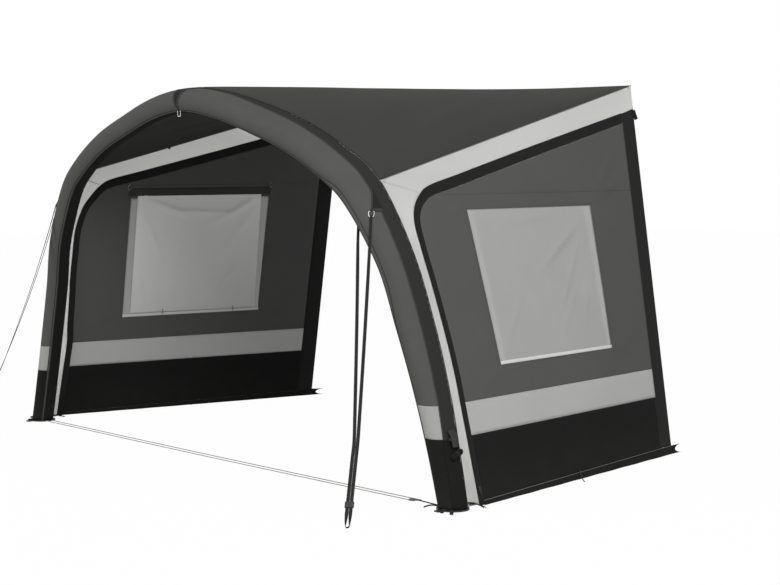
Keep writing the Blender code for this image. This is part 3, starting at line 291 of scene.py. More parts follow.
def mouldedPlastic(name, colour, roughness=0.46):
    # fine spark-eroded grain, and handling marks that shine a little more
    look = plasticLook
    material, tree, shader = startMaterial(name, colour, roughness, Specular_IOR_Level=look["specular"])
    grain, marks = noise(tree, *look["grain"]), noise(tree, *look["marks"])
    shade = scaledColour(tree, colour, around(tree, marks, 1.0, look["tone"]))
    tree.links.new(shade, shader.inputs["Base Color"])
    tree.links.new(around(tree, marks, roughness, look["roughness"]), shader.inputs["Roughness"])
    addBump(tree, shader, grain, look["depth"])
    return material


def brightSteel(name, colour, roughness=0.28):
    # fine drawing marks in tone and relief, and a gloss that varies from place to place
    look = steelLook
    material, tree, shader = startMaterial(name, colour, roughness, Metallic=1.0)
    drawn = noise(tree, *look["drawn"])
    worn = around(tree, noise(tree, *look["marks"]), *look["roughness"])
    tree.links.new(worn, shader.inputs["Roughness"])
    shade = scaledColour(tree, colour, around(tree, drawn, 1.0, look["tone"]))
    tree.links.new(shade, shader.inputs["Base Color"])
    addBump(tree, shader, drawn, look["depth"])
    return material


def clearFilm(name, colour, transmission, roughness=0.22):
    # vinyl film: faint ripples and a haze that varies
    look = filmLook
    material, tree, shader = startMaterial(
        name, colour, roughness, Transmission_Weight=transmission, IOR=look["ior"],
        Specular_IOR_Level=look["specular"])
    haze = noise(tree, *look["haze"])
    tree.links.new(around(tree, haze, roughness, look["roughness"]), shader.inputs["Roughness"])
    shade = scaledColour(tree, colour, around(tree, haze, 1.0, look["tone"]))
    tree.links.new(shade, shader.inputs["Base Color"])
    addBump(tree, shader, noise(tree, *look["ripples"]), look["depth"], look["strength"])
    return material


tapeSewing = {"rows": (0.0035, 0.0125), "pitch": 0.0048, "thread": 0.0009, "dashShare": 0.64,
              "colour": (0.13, 0.13, 0.125)}
webSewing = {"rows": (0.003, 0.017), "pitch": 0.004, "thread": 0.0008, "dashShare": 0.64,
             "colour": (0.05, 0.05, 0.05)}

# each finish: its material and the record's slot
finishes = {
    "sleeveFront": (fabric("sleeve front cloth", (0.083, 0.083, 0.079)), "sleeve_grey"),
    "sleeveSide": (fabric("sleeve side cloth", (0.028, 0.028, 0.027), lowerToneAndPaintedShade=(0.388, 0.396, 0.45)),
                   "sleeve_dark"),
    "sleeveBlack": (fabric("sleeve black cloth", (0.012, 0.012, 0.0115), dust=(0.25, 0.06)),
                    "sleeve_black"),
    "roof": (fabric("roof cloth", (0.048, 0.048, 0.046), mottle=0.07), "roof_grey"),
    "wall": (fabric("wall cloth", (0.088, 0.088, 0.086), mottle=0.08), "wall_grey"),
    "trim": (fabric("light trim cloth", (0.75, 0.75, 0.735), mottle=0.03, dust=(0.5, 0.45),
                    Transmission_Weight=0.66), "trim_light"),
    "stripe": (fabric("stripe cloth", (0.53, 0.53, 0.525), mottle=0.04, dust=(0.6, 0.06),
                      Transmission_Weight=0.32), "stripe_light"),
    "sill": (fabric("window sill welt", (0.62, 0.62, 0.60), mottle=0.08), "trim_light"),
    "flap": (fabric("valve flap cloth", (0.042, 0.042, 0.040)), "sleeve_dark"),
    "legStripe": (fabric("leg stripe cloth", (0.335, 0.335, 0.325), mottle=0.04, dust=(0.6, 0.08)),
                  "stripe_light"),
    "mud": (fabric("mud wall cloth", (0.0115, 0.0115, 0.0112), dust=(0.30, 0.05)), "mud_wall"),
    "zip": (fabric("zip band cloth", (0.017, 0.017, 0.0165), weave=0.0020), "zip_band"),
    "pad": (fabric("pad cloth", (0.021, 0.021, 0.0205), dust=(0.3, 0.05)), "zip_band"),
    "patch": (fabric("patch cloth", (0.020, 0.020, 0.0195)), "sleeve_dark"),
    "header": (fabric("curtain header cloth", (0.050, 0.050, 0.048)), "wall_grey"),
    "greyTape": (fabric("grey seam tape", (0.085, 0.085, 0.082), stitches=tapeSewing), "wall_grey"),
    "roofTape": (fabric("roof seam tape", (0.048, 0.048, 0.046)), "roof_grey"),
    "bandTape": (fabric("inner edge tape", (0.105, 0.105, 0.100), weave=0.0022, mottle=0.20),
                 "sleeve_grey"),
    "darkTape": (fabric("dark seam tape", (0.040, 0.040, 0.038), stitches=tapeSewing), "sleeve_dark"),
    # painted shade: the curtain darkens towards its foot, to 0.68 of its colour at 0.78 m, so that its top
    # looks lit
    "curtain": (fabric("curtain cloth", (0.97, 0.97, 0.94), weave=0.0011, mottle=0.04,
                       lowerToneAndPaintedShade=(0.78, 1.70, 0.68), Transmission_Weight=0.12), "curtain"),
    "film": (clearFilm("window film", (0.46, 0.46, 0.445), 0.32), "window_film"),
    "bladder": (clearFilm("air tube film", (0.60, 0.60, 0.55), 0.15, 0.38), "bladder"),
    "plastic": (mouldedPlastic("black moulded plastic", (0.014, 0.014, 0.014)), "black_plastic"),
    "steel": (brightSteel("bright steel", (0.80, 0.80, 0.78)), "bright_steel"),
    "webbing": (fabric("black webbing", (0.026, 0.026, 0.025), weave=0.0022, ribbed=True, depth=0.0006,
                       stitches=webSewing), "webbing"),
    "cord": (fabric("braided cord", (0.30, 0.30, 0.285), weave=0.0030, depth=0.0005), "cord"),
    "paleCord": (fabric("pale piping", (0.46, 0.46, 0.44), weave=0.0016), "trim_light"),
    "greyCord": (fabric("grey piping", (0.15, 0.15, 0.145), weave=0.0016), "sleeve_grey"),
    "darkCord": (fabric("dark piping", (0.032, 0.032, 0.031), weave=0.0016), "sleeve_dark"),
}
print("materials made")


# Pieces

def gridFaces(rows, columns, closed=False):
    # one quad between each two neighbouring rows and columns; closed joins the last column to the first
    i, j = np.arange(rows - 1)[:, None], np.arange(columns if closed else columns - 1)[None]
    k, after = (j + 1) % columns, (i + 1) * columns
    return np.stack([i * columns + j, i * columns + k, after + k, after + j], -1).reshape(-1, 4)


def gridUv(grid, closed=False):
    # u is the mean length walked from row to row and v from column to column, in metres
    wide = np.concatenate([grid, grid[:, :1]], 1) if closed else grid
    u = np.concatenate([[0], np.cumsum(np.linalg.norm(np.diff(wide, axis=0), axis=-1).mean(1))])
    v = np.concatenate([[0], np.cumsum(np.linalg.norm(np.diff(wide, axis=1), axis=-1).mean(0))])
    return np.stack(np.meshgrid(u, v, indexing="ij"), -1)


def cornerUv(uv):
    # the same, given to each corner of each face in gridFaces' order
    return np.stack([uv[:-1, :-1], uv[:-1, 1:], uv[1:, 1:], uv[1:, :-1]], 2).reshape(-1, 2)


def addPiece(name, mesh, finish, body, replaces):
    # an object at the origin with its finish, riding on its body
    material, slotName = finishes[finish]
    mesh.materials.append(material)
    mesh.shade_smooth()
    piece = bpy.data.objects.new(name, mesh)
    scene.collection.objects.link(piece)
    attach(piece, body)
    if replaces:
        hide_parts(*replaces)
    return piece


def sheetPiece(name, grid, finish, thickness=cloth, closed=False, body="awning", replaces=(), uv=None):
    # a grid of points as a sheet of cloth, half of its thickness on each side
    rows, columns = grid.shape[:2]
    mesh = bpy.data.meshes.new(name)
    mesh.from_pydata(grid.reshape(-1, 3), [], gridFaces(rows, columns, closed))
    uv = cornerUv(gridUv(grid, closed) if uv is None else uv)
    mesh.uv_layers.new(name="cloth").data.foreach_set("uv", uv.astype(np.float32).ravel())
    piece = addPiece(name, mesh, finish, body, replaces)
    thicken = piece.modifiers.new("thickness", "SOLIDIFY")
    thicken.thickness = thickness
    thicken.offset = 0.0
    return piece


def shellMesh(name, grid, closed=False):
    # rows of closed rings as a shell with its faces outwards: its ends are joined, or else capped flat
    rows, columns = grid.shape[:2]
    faces = gridFaces(rows, columns, True)
    uv = cornerUv(gridUv(grid, True))
    if closed:
        j = np.arange(columns)
        k, last = (j + 1) % columns, (rows - 1) * columns
        faces = np.concatenate([faces, np.stack([last + j, last + k, k, j], -1)]).tolist()
        uv = np.concatenate([uv, uv[-4 * columns:]])
    else:
        faces = faces.tolist()
        faces += [list(range(columns)), list(range(rows * columns - 1, (rows - 1) * columns - 1, -1))]
        uv = np.concatenate([uv, np.zeros((2 * columns, 2))])
    mesh = bpy.data.meshes.new(name)
    mesh.from_pydata(grid.reshape(-1, 3), [], faces)
    mesh.uv_layers.new(name="cloth").data.foreach_set("uv", uv.astype(np.float32).ravel())
    shell = bmesh.new()
    shell.from_mesh(mesh)
    bmesh.ops.recalc_face_normals(shell, faces=shell.faces)
    shell.to_mesh(mesh)
    shell.free()
    return mesh


def sweepPiece(name, path, across, up, profile, finish, scale=None, closed=False, body="awning",
               replaces=()):
    # a closed profile of (across, up) offsets carried along the path, with sharp edges past 50 degrees
    size = np.ones((len(path), 2)) if scale is None else np.asarray(scale, float).reshape(len(path), -1)
    size = np.broadcast_to(size, (len(path), 2))
    profile = np.asarray(profile)
    grid = path[:, None] + across[:, None] * (profile[None, :, :1] * size[:, None, :1])
    grid = grid + up[:, None] * (profile[None, :, 1:] * size[:, None, 1:])
    piece = addPiece(name, shellMesh(name, grid, closed), finish, body, replaces)
    piece.data.set_sharp_from_angle(angle=math.radians(50))
    return piece


def roundProfile(radius, sides=12):
    # points evenly round a circle
    angle = np.linspace(0, turn, sides, endpoint=False)
    return np.stack([np.cos(angle), np.sin(angle)], -1) * radius


def flatProfile(width, thickness):
    # a strip with rounded long edges and a slightly crowned face
    w, h = width / 2, thickness / 2
    right = [(w - h, -h), (w - h / 3, -h * 0.7), (w, 0), (w - h / 3, h * 0.7), (w - h, h)]
    return right + [(0, h * 1.06)] + [(-x, z) for x, z in reversed(right)] + [(0, -h * 1.06)]


def carriedFrame(path, up=(0, 0, 1)):
    # tangent, and two axes square to it, the second as near to up as it can be
    along = unit(np.gradient(path, axis=0))
    across = unit(np.cross(along, np.asarray(up, float)))
    return along, across, np.cross(across, along)


def rodPiece(name, path, radius, finish, sides=12, up=(0, 0, 1), **facts):
    # a circle carried along the path
    _, across, over = carriedFrame(path, up)
    return sweepPiece(name, path, across, over, roundProfile(radius, sides), finish, **facts)


# The awning's overall shape, in its own frame: y is 0 on the line of the walls' front edges
shape = {"depth": 2.30, "railHeight": 2.46, "railHalf": 1.512, "rearHalf": 1.912, "frontHalf": 2.328,
         "crownHalf": 1.617, "stripeTop": 0.58, "stripeBottom": 0.395, "hemFront": 0.030, "hemRear": 0.060,
         "rearStrip": 0.135, "sleeveBottom": 0.0084, "innerHem": 0.0003}
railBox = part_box("rail_beading")
shiftY = (railBox[0].y + railBox[1].y) / 2 - shape["depth"]

arch = {
    "half": 2.24, "height": 2.34, "forward": 0.046, "lean": 0.234, "radius": 0.0765, "tube": 0.0733,
    "xShares": (0, 0.154, 0.307, 0.459, 0.597, 0.697, 0.804, 0.858, 0.910, 0.957, 1),
    "zShares": (1, 0.981, 0.939, 0.889, 0.820, 0.745, 0.592, 0.442, 0.296, 0.149, 0),
    "finOut": 0.150, "finBack": 0.098, "innerSeam": math.radians(153),
    "tubeFoot": 0.096, "tubeGap": 0.0005,
    "finOutShares": (0.57, 0.65, 0.77, 0.84, 0.93, 1, 0.83, 0.70, 0.57, 0.53, 0.51),
    "finBackShares": (0.61, 0.71, 0.77, 0.81, 0.82, 0.87, 0.79, 0.97, 0.93, 0.66, 0.44),
    "seamShares": (0.95, 0.90, 0.84, 0.81, 0.79, 0.75, 0.71, 0.70, 0.66, 0.61, 0.58),
}
pipingRadius = 0.003
seamInset = pipingRadius + 0.0001
archUp = (0, 1, 0.01)   # nearly square to the arch's plane, for what runs along it


def tableCurve(values, t, odd=False):
    # Catmull-Rom curve through the table; the apex mirrors it, and the foot runs straight on
    v = np.asarray(values, float)
    v = np.concatenate([[-v[1] if odd else v[1]], v, [2 * v[-1] - v[-2]]])
    i = np.clip(np.floor(t).astype(int), 0, len(values) - 2)
    s = t - i
    before, a, b, after = v[i], v[i + 1], v[i + 2], v[i + 3]
    slopeA, slopeB = (b - before) / 2, (after - a) / 2
    return ((2 * s**3 - 3 * s**2 + 1) * a + (s**3 - 2 * s**2 + s) * slopeA
            + (3 * s**2 - 2 * s**3) * b + (s**3 - s**2) * slopeB)


def archCentre(t):
    # centre line of the air tube; t runs from -10 at the left foot through the apex to 10 at the right foot
    t = np.asarray(t, float)
    height = tableCurve(arch["zShares"], np.abs(t))
    x = np.sign(t) * arch["half"] * tableCurve(arch["xShares"], np.abs(t), odd=True)
    return np.stack([x, shiftY - arch["forward"] - arch["lean"] * height**2, arch["height"] * height], -1)


def archFrame(t):
    # centre, and the directions along the arch, outward in its plane and back towards the rail
    t = np.asarray(t, float)
    along = unit(archCentre(np.minimum(t + 0.002, 10)) - archCentre(np.maximum(t - 0.002, -10)))
    outward = unit(np.cross(along, np.array([0.0, 1.0, 0.0])))
    return archCentre(t), along, outward, unit(np.cross(outward, along))


steps = np.linspace(0, 10, 4001)
stepHeights = archCentre(steps)[:, 2]


def legStep(height):
    # the step at which the right leg's centre line is that high, read off the table above
    return np.interp(height, stepHeights[::-1], steps[::-1])


def finOffsets(t):
    # how far the fin's edge lies outward and back from the centre line, both from their tables
    out = arch["finOut"] * tableCurve(arch["finOutShares"], np.abs(t))
    rear = arch["finBack"] * tableCurve(arch["finBackShares"], np.abs(t))
    return out, rear


def finPoint(t):
    # the centre line moved out and back by these two
    centre, _, outward, back = archFrame(t)
    out, rear = finOffsets(t)
    return centre + outward * out[..., None] + back * rear[..., None]


def faceAngles(t, face):
    # the angle where the cloth leaves the round tube for the fin, and its arc and straight lengths
    out, rear = finOffsets(t)
    reach, direction = np.hypot(out, rear), -np.arctan2(rear, out)
    spread, straight = np.arccos(arch["radius"] / reach), np.sqrt(reach**2 - arch["radius"]**2)
    if face == "front":
        tangent = direction + spread
        return tangent, arch["radius"] * (arch["innerSeam"] - tangent), straight
    tangent = direction - spread
    return tangent, arch["radius"] * (tangent - arch["innerSeam"] + turn), straight


def faceLength(t, face):
    # width of a face: its arc round the tube and its straight run to the fin
    _, arc, straight = faceAngles(t, face)
    return arc + straight


def sleevePoint(t, share, face, lift=0.0):
    # front: from the inner seam round the front to the fin
    # inner: from the fin round the back to the inner seam
    t = np.asarray(t, float)
    share = np.broadcast_to(np.asarray(share, float), (len(t), np.shape(share)[-1]))
    centre, _, outward, back = archFrame(t)
    tangent, arc, straight = (x[:, None] for x in faceAngles(t, face))
    radius, seam = arch["radius"], arch["innerSeam"]
    if face == "front":
        walked = share * (arc + straight)
        angle = np.maximum(seam - walked / radius, tangent)
    else:
        walked = (1 - share) * (arc + straight)
        angle = np.minimum(seam - turn + walked / radius, tangent)
    rest = (np.maximum(walked - arc, 0) / straight)[..., None]
    radial = outward[:, None] * np.cos(angle)[..., None] - back[:, None] * np.sin(angle)[..., None]
    onTube = centre[:, None] + radial * radius
    point = onTube + (finPoint(t)[:, None] - onTube) * rest
    lift = np.asarray(lift, float)
    return point + radial * (lift[..., None] if lift.ndim else lift), radial


def toLevel(t, points, levels):
    # rows with a level are cut off square to the ground
    _, along, _, _ = archFrame(t)
    shift = np.where(np.isnan(levels)[:, None], 0, (levels[:, None] - points[..., 2]) / along[:, None, 2])
    return points + along[:, None] * shift[..., None]


def shareIn(face, distance):
    # share of the face's width that lies within a distance from its start
    return lambda t: distance / faceLength(t, face)


def shareOut(face, distance):
    # the same up to a distance from its end
    return lambda t: 1 - distance / faceLength(t, face)


def seamAt(offset):
    # share of the front face's width at the side seam, from its table, moved by an offset
    return lambda t: tableCurve(arch["seamShares"], np.abs(t)) + offset / faceLength(t, "front")


sleeveLook = {
    "legTop": 0.628, "rowStep": 0.05, "legRows": 24, "frontEdge": 0.02,
    "pinch": 0.0020, "pinchWidth": 0.012, "pucker": 0.0008, "puckerLength": 0.032,
    "bendWrinkle": 0.0030, "bendLength": 0.060, "bend": (4.2, 5.0, 6.0, 7.0),
    "slack": 0.0012, "slackSize": 0.25,
    "columns": {"front": 28, "outer": 18, "inner": 34, "leg": 24},
}
topStep = legStep(sleeveLook["legTop"])


def sleeveRows(low, high, part="all"):
    # steps and levels of the rows of a sleeve piece: low and high are leg heights
    levels = np.linspace(high, low, sleeveLook["legRows"] + 1)
    if part == "leg":
        return legStep(levels), levels
    middle = np.arange(-topStep, topStep + 0.001, sleeveLook["rowStep"] * topStep / 8)
    t = np.concatenate([-legStep(levels)[::-1], middle, legStep(levels)])
    return t, np.concatenate([levels[::-1], np.full(len(middle), np.nan), levels])


def sleeveGrid(rows, face, start, end, columns, seams=(True, True)):
    # cloth pulled over the air tube: pinched and puckered at its seams, wrinkled inside the bends
    t, levels = rows
    low, high = start(t)[:, None], end(t)[:, None]
    share = low + (high - low) * np.linspace(0, 1, columns + 1)
    size = faceLength(t, face)[:, None]
    walked = lengths(archCentre(t))[:, None]
    lift = np.zeros_like(share)
    for sewn, distance in zip(seams, ((share - low) * size, (high - share) * size)):
        if sewn:
            near = np.exp(-distance / sleeveLook["pinchWidth"])
            lift -= near * sleeveLook["pinch"]
            lift += near * sleeveLook["pucker"] * np.sin(turn * walked / sleeveLook["puckerLength"])
    bendStart, bendFull, bendFading, bendEnd = sleeveLook["bend"]
    bend = ease(np.abs(t), bendStart, bendFull) * easeOff(np.abs(t), bendFading, bendEnd)
    across = np.sin(math.pi * (share - low) / (high - low))
    if face == "inner":
        folds = np.sin(turn * walked / sleeveLook["bendLength"] + 2 * np.sin(3 * walked))
        lift -= sleeveLook["bendWrinkle"] * bend[:, None] * across**2 * (0.5 + 0.5 * folds)
    lift += sleeveLook["slack"] * across * waves(walked, share * size, 5, sleeveLook["slackSize"])
    points, _ = sleevePoint(t, share, face, lift)
    return toLevel(t, points, levels)


def makeSleeve():
    # each panel spans two shares of its face, from foot to foot; stripe and gaiter close the legs' fronts
    top, bottom, low = shape["stripeTop"], shape["stripeBottom"], shape["sleeveBottom"]
    half, hem, columns = seamGap / 2, shape["innerHem"], sleeveLook["columns"]
    innerStart, seamLow, seamHigh = shareIn("front", hem), seamAt(-half), seamAt(half)
    outerEnd, backStart = shareOut("front", seamInset), shareIn("inner", seamInset)
    backEnd = shareOut("inner", hem)
    rows = sleeveRows(top + half, top + sleeveLook["frontEdge"])
    front = sleeveGrid(rows, "front", innerStart, seamLow, columns["front"])
    piece = sheetPiece("sleeveFront", front, "sleeveFront", replaces=["arch_front_panel"])
    outer = sleeveGrid(sleeveRows(low, top), "front", seamHigh, outerEnd, columns["outer"])
    piece = sheetPiece("sleeveSide", outer, "sleeveSide", replaces=["arch_outer_panel"])
    inner = sleeveGrid(sleeveRows(low, top), "inner", backStart, backEnd, columns["inner"])
    piece = sheetPiece("sleeveInside", inner, "sleeveBlack", replaces=["arch_inner_panel"])
    for side, word in bothSides:
        for name, node, finish, high, deep in (
                ("legStripe", "leg_stripe", "legStripe", top - half, bottom + half),
                ("legGaiter", "leg_gaiter", "sleeveBlack", bottom - half, low)):
            t, levels = sleeveRows(deep, high, "leg")
            grid = sleeveGrid((t * side, levels), "front", innerStart, seamLow, columns["leg"])
            piece = sheetPiece(f"{name}_{word}", grid, finish, replaces=[f"{node}_{word}"])
    rows = sleeveRows(low + pipingRadius, top)
    seam = toLevel(rows[0], finPoint(rows[0])[:, None], rows[1])[:, 0]
    rodPiece("seamPiping", seam, pipingRadius, "darkCord", 10, archUp, replaces=["arch_seam_piping"])


innerSeamLook = {
    "pipings": (   # name, distance from the inner seam, lift, radius and finish
        ("innerPiping", 0.0, 0.0010, 0.0026, "darkCord"),
        ("innerPipingPale", 0.0075, 0.0012, 0.0042, "sleeveFront"),
        ("innerPipingFront", 0.0150, 0.0006, 0.0026, "darkCord")),
    "forward": 0.022, "forwardSteps": (-1.5, 4.5), "ringFlat": 0.72, "ringReach": 0.16,
    "band": {"from": 3.6, "to": 7.5, "low": 0.030, "high": 0.079, "rise": 1.3, "fall": 1.2, "lift": 0.0012,
             "thickness": 0.0008, "piping": 0.0024, "trimmed": 4},
    "tape": {"from": -0.001, "to": 0.007, "lift": 0.0003, "pinchShare": 0.6, "thickness": 0.0010},
}


def makeSleeveSeams():
    # grey piping between two dark ones along the inner edge, a band, and the tape on the side seam
    look = innerSeamLook
    top = shape["stripeTop"]
    t, levels = sleeveRows(shape["sleeveBottom"], top)
    forward = look["forward"] * ease(t, *look["forwardSteps"])
    # flattened under the apex ring, which swings over it
    flat = 1 - look["ringFlat"] * np.exp(-(t / look["ringReach"]) ** 2)
    for name, reach, lift, radius, finish in look["pipings"]:
        share = ((reach + forward) / faceLength(t, "front"))[:, None]
        points, _ = sleevePoint(t, share, "front", lift * flat[:, None])
        path = toLevel(t, points, levels)[:, 0]
        rodPiece(name, path, radius, finish, 8, archUp, scale=flat)
    # band between two dark pipings where the inner edge of the right shoulder turns to the front
    band = look["band"]
    start, end = band["from"], band["to"]
    bandSteps = np.linspace(start, end, 90)
    rise = ease(bandSteps, start, start + band["rise"]) * easeOff(bandSteps, end - band["fall"], end)
    high = band["low"] + (band["high"] - band["low"]) * rise
    size = faceLength(bandSteps, "front")[:, None]
    reach = band["low"] + (high - band["low"])[:, None] * np.linspace(0, 1, 9)
    grid, _ = sleevePoint(bandSteps, reach / size, "front", band["lift"])
    sheetPiece("innerBand", grid[band["trimmed"]:-band["trimmed"]], "bandTape", band["thickness"])
    for name, line in (("innerBandPiping_a", grid[:, 0]), ("innerBandPiping_b", grid[:, -1])):
        rodPiece(name, line, band["piping"], "darkCord", 8, archUp)
    tape = look["tape"]
    t, levels = sleeveRows(shape["stripeBottom"], top)
    size = faceLength(t, "front")[:, None]
    share = seamAt(0)(t)[:, None] + np.linspace(tape["from"], tape["to"], 5) / size
    grid, _ = sleevePoint(t, share, "front", tape["lift"] - sleeveLook["pinch"] * tape["pinchShare"])
    sheetPiece("sideSeamTape", toLevel(t, grid, levels), "darkTape", tape["thickness"])


def makeAirTube():
    # the inflated tube inside the sleeve, rounded off at the feet
    foot = legStep(arch["tubeFoot"])
    t = np.linspace(-foot, foot, 241)
    centre, _, outward, back = archFrame(t)
    reach = lengths(centre)
    end = np.minimum(reach, reach[-1] - reach) / arch["tube"]
    scale = np.sqrt(np.clip(1 - (1 - np.clip(end, 0, 1)) ** 2, 0.02, 1))
    profile = roundProfile(arch["tube"] - arch["tubeGap"], 32)
    sweepPiece("airTube", centre, outward, back, profile, "bladder", scale, replaces=["arch_air_tube"])


makeAirTube()
makeSleeve()
makeSleeveSeams()
print("sleeve made")

roofLook = {"rows": 150, "columns": 60, "sag": 0.010, "ripple": 0.0022, "rippleSize": 0.55,
            "rippleSpan": (3.5, 2.4), "edgeRise": 0.024, "edgeReach": 0.050, "sideShare": 0.0004,
            "railGap": 0.0045, "tapeWidth": 0.016, "tapeLift": 0.0013, "tapeThickness": 0.0010,
            "railTapeStart": -0.0205}
roofCreases = [   # along the arch and back from it, both as shares, then height and half width
    ((0.03, 0.02), (0.14, 0.62), 0.0110, 0.018), ((0.05, 0.00), (0.28, 0.42), 0.0090, 0.016),
    ((0.10, 0.00), (0.40, 0.30), 0.0065, 0.014), ((0.02, 0.10), (0.05, 0.80), 0.0080, 0.012),
    ((0.04, 0.00), (0.20, 0.78), 0.0070, 0.014),
]


def makeRoof():
    # ruled from the arch's fin to the rail, a little slack, with creases that spread from the shoulders
    look = roofLook
    rail = [[s * shape["railHalf"], shiftY + shape["depth"], shape["railHeight"]] for s in (-1, 1)]
    front = resample(finPoint(np.linspace(-5, 5, 601)), look["rows"] + 1)
    rear = np.linspace(rail[0], rail[1], look["rows"] + 1)
    size = np.linalg.norm(rear - front, axis=-1)[:, None]
    clear = 1 - (seamInset + look["railGap"]) / size
    back = seamInset / size + clear * np.linspace(0, 1, look["columns"] + 1)
    grid = front[:, None] + (rear - front)[:, None] * back[..., None]
    f = np.linspace(look["sideShare"], 1 - look["sideShare"], look["rows"] + 1)
    f = f[:, None] * np.ones_like(back)
    edge = np.sin(math.pi * f) ** 0.5 * np.sin(math.pi * np.clip(back, 0, 1)) ** 0.5
    mirrored = [((1 - a[0], a[1]), (1 - b[0], b[1]), h, w) for a, b, h, w in roofCreases]
    wide, deep = look["rippleSpan"]
    lift = edge * (look["ripple"] * waves(f * wide, back * deep, 11, look["rippleSize"])
                   + ridges(f, back, roofCreases + mirrored)) - look["sag"] * edge**2
    # it rises steeply from the trims to its full height
    fromSide = np.minimum(f, 1 - f) * 2 * shape["crownHalf"]
    risen = 1 - np.exp(-fromSide / look["edgeReach"])
    lift = lift + look["edgeRise"] * risen * np.sin(math.pi * np.clip(back, 0, 1)) ** 0.5
    normal = gridNormals(grid)
    normal = np.where(normal[..., 2:] > 0, normal, -normal)
    grid = grid + normal * lift[..., None]
    piece = sheetPiece("roofCloth", grid, "roof", replaces=["roof_panel"])
    # sewn tapes along the arch seam and along the beading
    for name, start, lead in (
            ("roofFrontTape", 0.0, seamInset), ("roofRearTape", 1.0, look["railTapeStart"])):
        s = start + (lead + np.linspace(0, look["tapeWidth"], 5)) / size
        tape = front[:, None] + (rear - front)[:, None] * s[..., None]
        lower = look["sag"] * (np.sin(math.pi * f[:, :1]) ** 0.5 * np.sin(math.pi * s) ** 0.5) ** 2
        up = unit(normal[:, :1] * np.ones((1, 5, 1)))
        tape = tape + up * (look["tapeLift"] - lower)[..., None]
        sheetPiece(name, tape, "roofTape", look["tapeThickness"])


makeRoof()
print("roof made")

# Side walls, in y from the front line and height; out is along x
zipLook = {   # shares of the depth for each side, and of the rail's height
    1: (0.043, 0.043, 0.043, 0.043, 0.0428, 0.0378, 0.0296, 0.0191, 0.0076, 0.0004, 0.0124, 0.0435),
    -1: (0.0496, 0.0496, 0.0496, 0.0496, 0.0432, 0.0372, 0.0300, 0.0259, 0.0244, 0.0383, 0.0639, 0.0926),
    "zShares": (0, 0.081, 0.1606, 0.2358, 0.2927, 0.3659, 0.439, 0.5163, 0.5854, 0.6504, 0.691, 0.7215),
    "roofStart": {1: 0.19, -1: 0.30}, "roofRise": {1: 0.2304, -1: 0.238}, "roofZ": 1.82,
    "legWidth": 0.049, "roofWidth": 0.066, "perStep": 10,
}
window = {"bottomFront": (0.54, 0.765), "topFront": (0.48, 1.672), "topRear": (1.70, 1.672),
          "bottomRear": (1.72, 0.765)}
wallCreases = {   # from and to in y and height, height and half width of the ridge
    1: [((0.12, 1.62), (0.46, 1.10), 0.0030, 0.035), ((0.20, 1.78), (1.05, 1.70), 0.0022, 0.030),
        ((1.72, 1.70), (2.10, 2.10), 0.0030, 0.040), ((1.75, 0.80), (2.14, 0.62), 0.0028, 0.035),
        ((0.54, 0.74), (0.22, 0.60), 0.0028, 0.030), ((1.80, 1.60), (2.12, 1.20), -0.0026, 0.045),
        ((0.60, 1.95), (1.60, 2.10), -0.0020, 0.040), ((0.24, 1.30), (0.42, 0.80), -0.0022, 0.040),
        ((1.74, 1.70), (2.12, 1.86), 0.0040, 0.026), ((1.76, 0.74), (2.10, 0.88), 0.0036, 0.028),
        ((0.26, 1.62), (0.46, 1.70), 0.0030, 0.026)],
    -1: [((0.16, 1.55), (0.44, 1.20), 0.0030, 0.035), ((1.74, 1.66), (2.10, 2.00), 0.0026, 0.040),
         ((0.52, 0.76), (0.20, 0.62), 0.0026, 0.030), ((1.76, 0.82), (2.12, 0.66), -0.0026, 0.035)],
}


wallLook = {   # where its cloth is held at the front, the rear and the foot, and how far it stands out
    "front": (0.17, 0.50), "rear": (1.95, 2.16), "foot": (0.0, 0.25), "belly": 0.004, "bellyTop": 1.9,
    "ripple": 0.0014, "rippleSize": 0.45, "creaseShare": 2.2, "frameWidth": 0.016, "frameOut": 0.0014,
    "frameThickness": 0.0008, "seamHeight": 1.765, "seamHalf": 0.005, "seamOut": 0.0012,
    "seamThickness": 0.0006, "seamEnds": (0.003, 0.002),
}


def wallField(side, y, z):
    # how far the wall's cloth stands out of its ruled surface
    look = wallLook
    held = ease(y, *look["front"]) * easeOff(y, *look["rear"]) * ease(z, *look["foot"])
    across, up = np.clip(y / shape["depth"], 0, 1), np.clip(z / look["bellyTop"], 0, 1)
    belly = look["belly"] * np.sin(math.pi * across) * np.sin(math.pi * up)
    ripple = look["ripple"] * waves(y, z, 20 + side, look["rippleSize"])
    return held * (belly + ripple + look["creaseShare"] * ridges(y, z, wallCreases[side]))


def wallSurface(side, yz, out=0.0):
    y, z = yz[..., 0], yz[..., 1]
    u, v = y / shape["depth"], z / shape["railHeight"]
    front = shape["frontHalf"] + (shape["crownHalf"] - shape["frontHalf"]) * v
    rear = shape["rearHalf"] + (shape["railHalf"] - shape["rearHalf"]) * v
    x = front + (rear - front) * u + wallField(side, y, z) + out
    return np.stack([side * x, y + shiftY, z], -1)


stripFront = shape["depth"] - shape["rearStrip"]
corner = len(zipLook["zShares"]) - 1


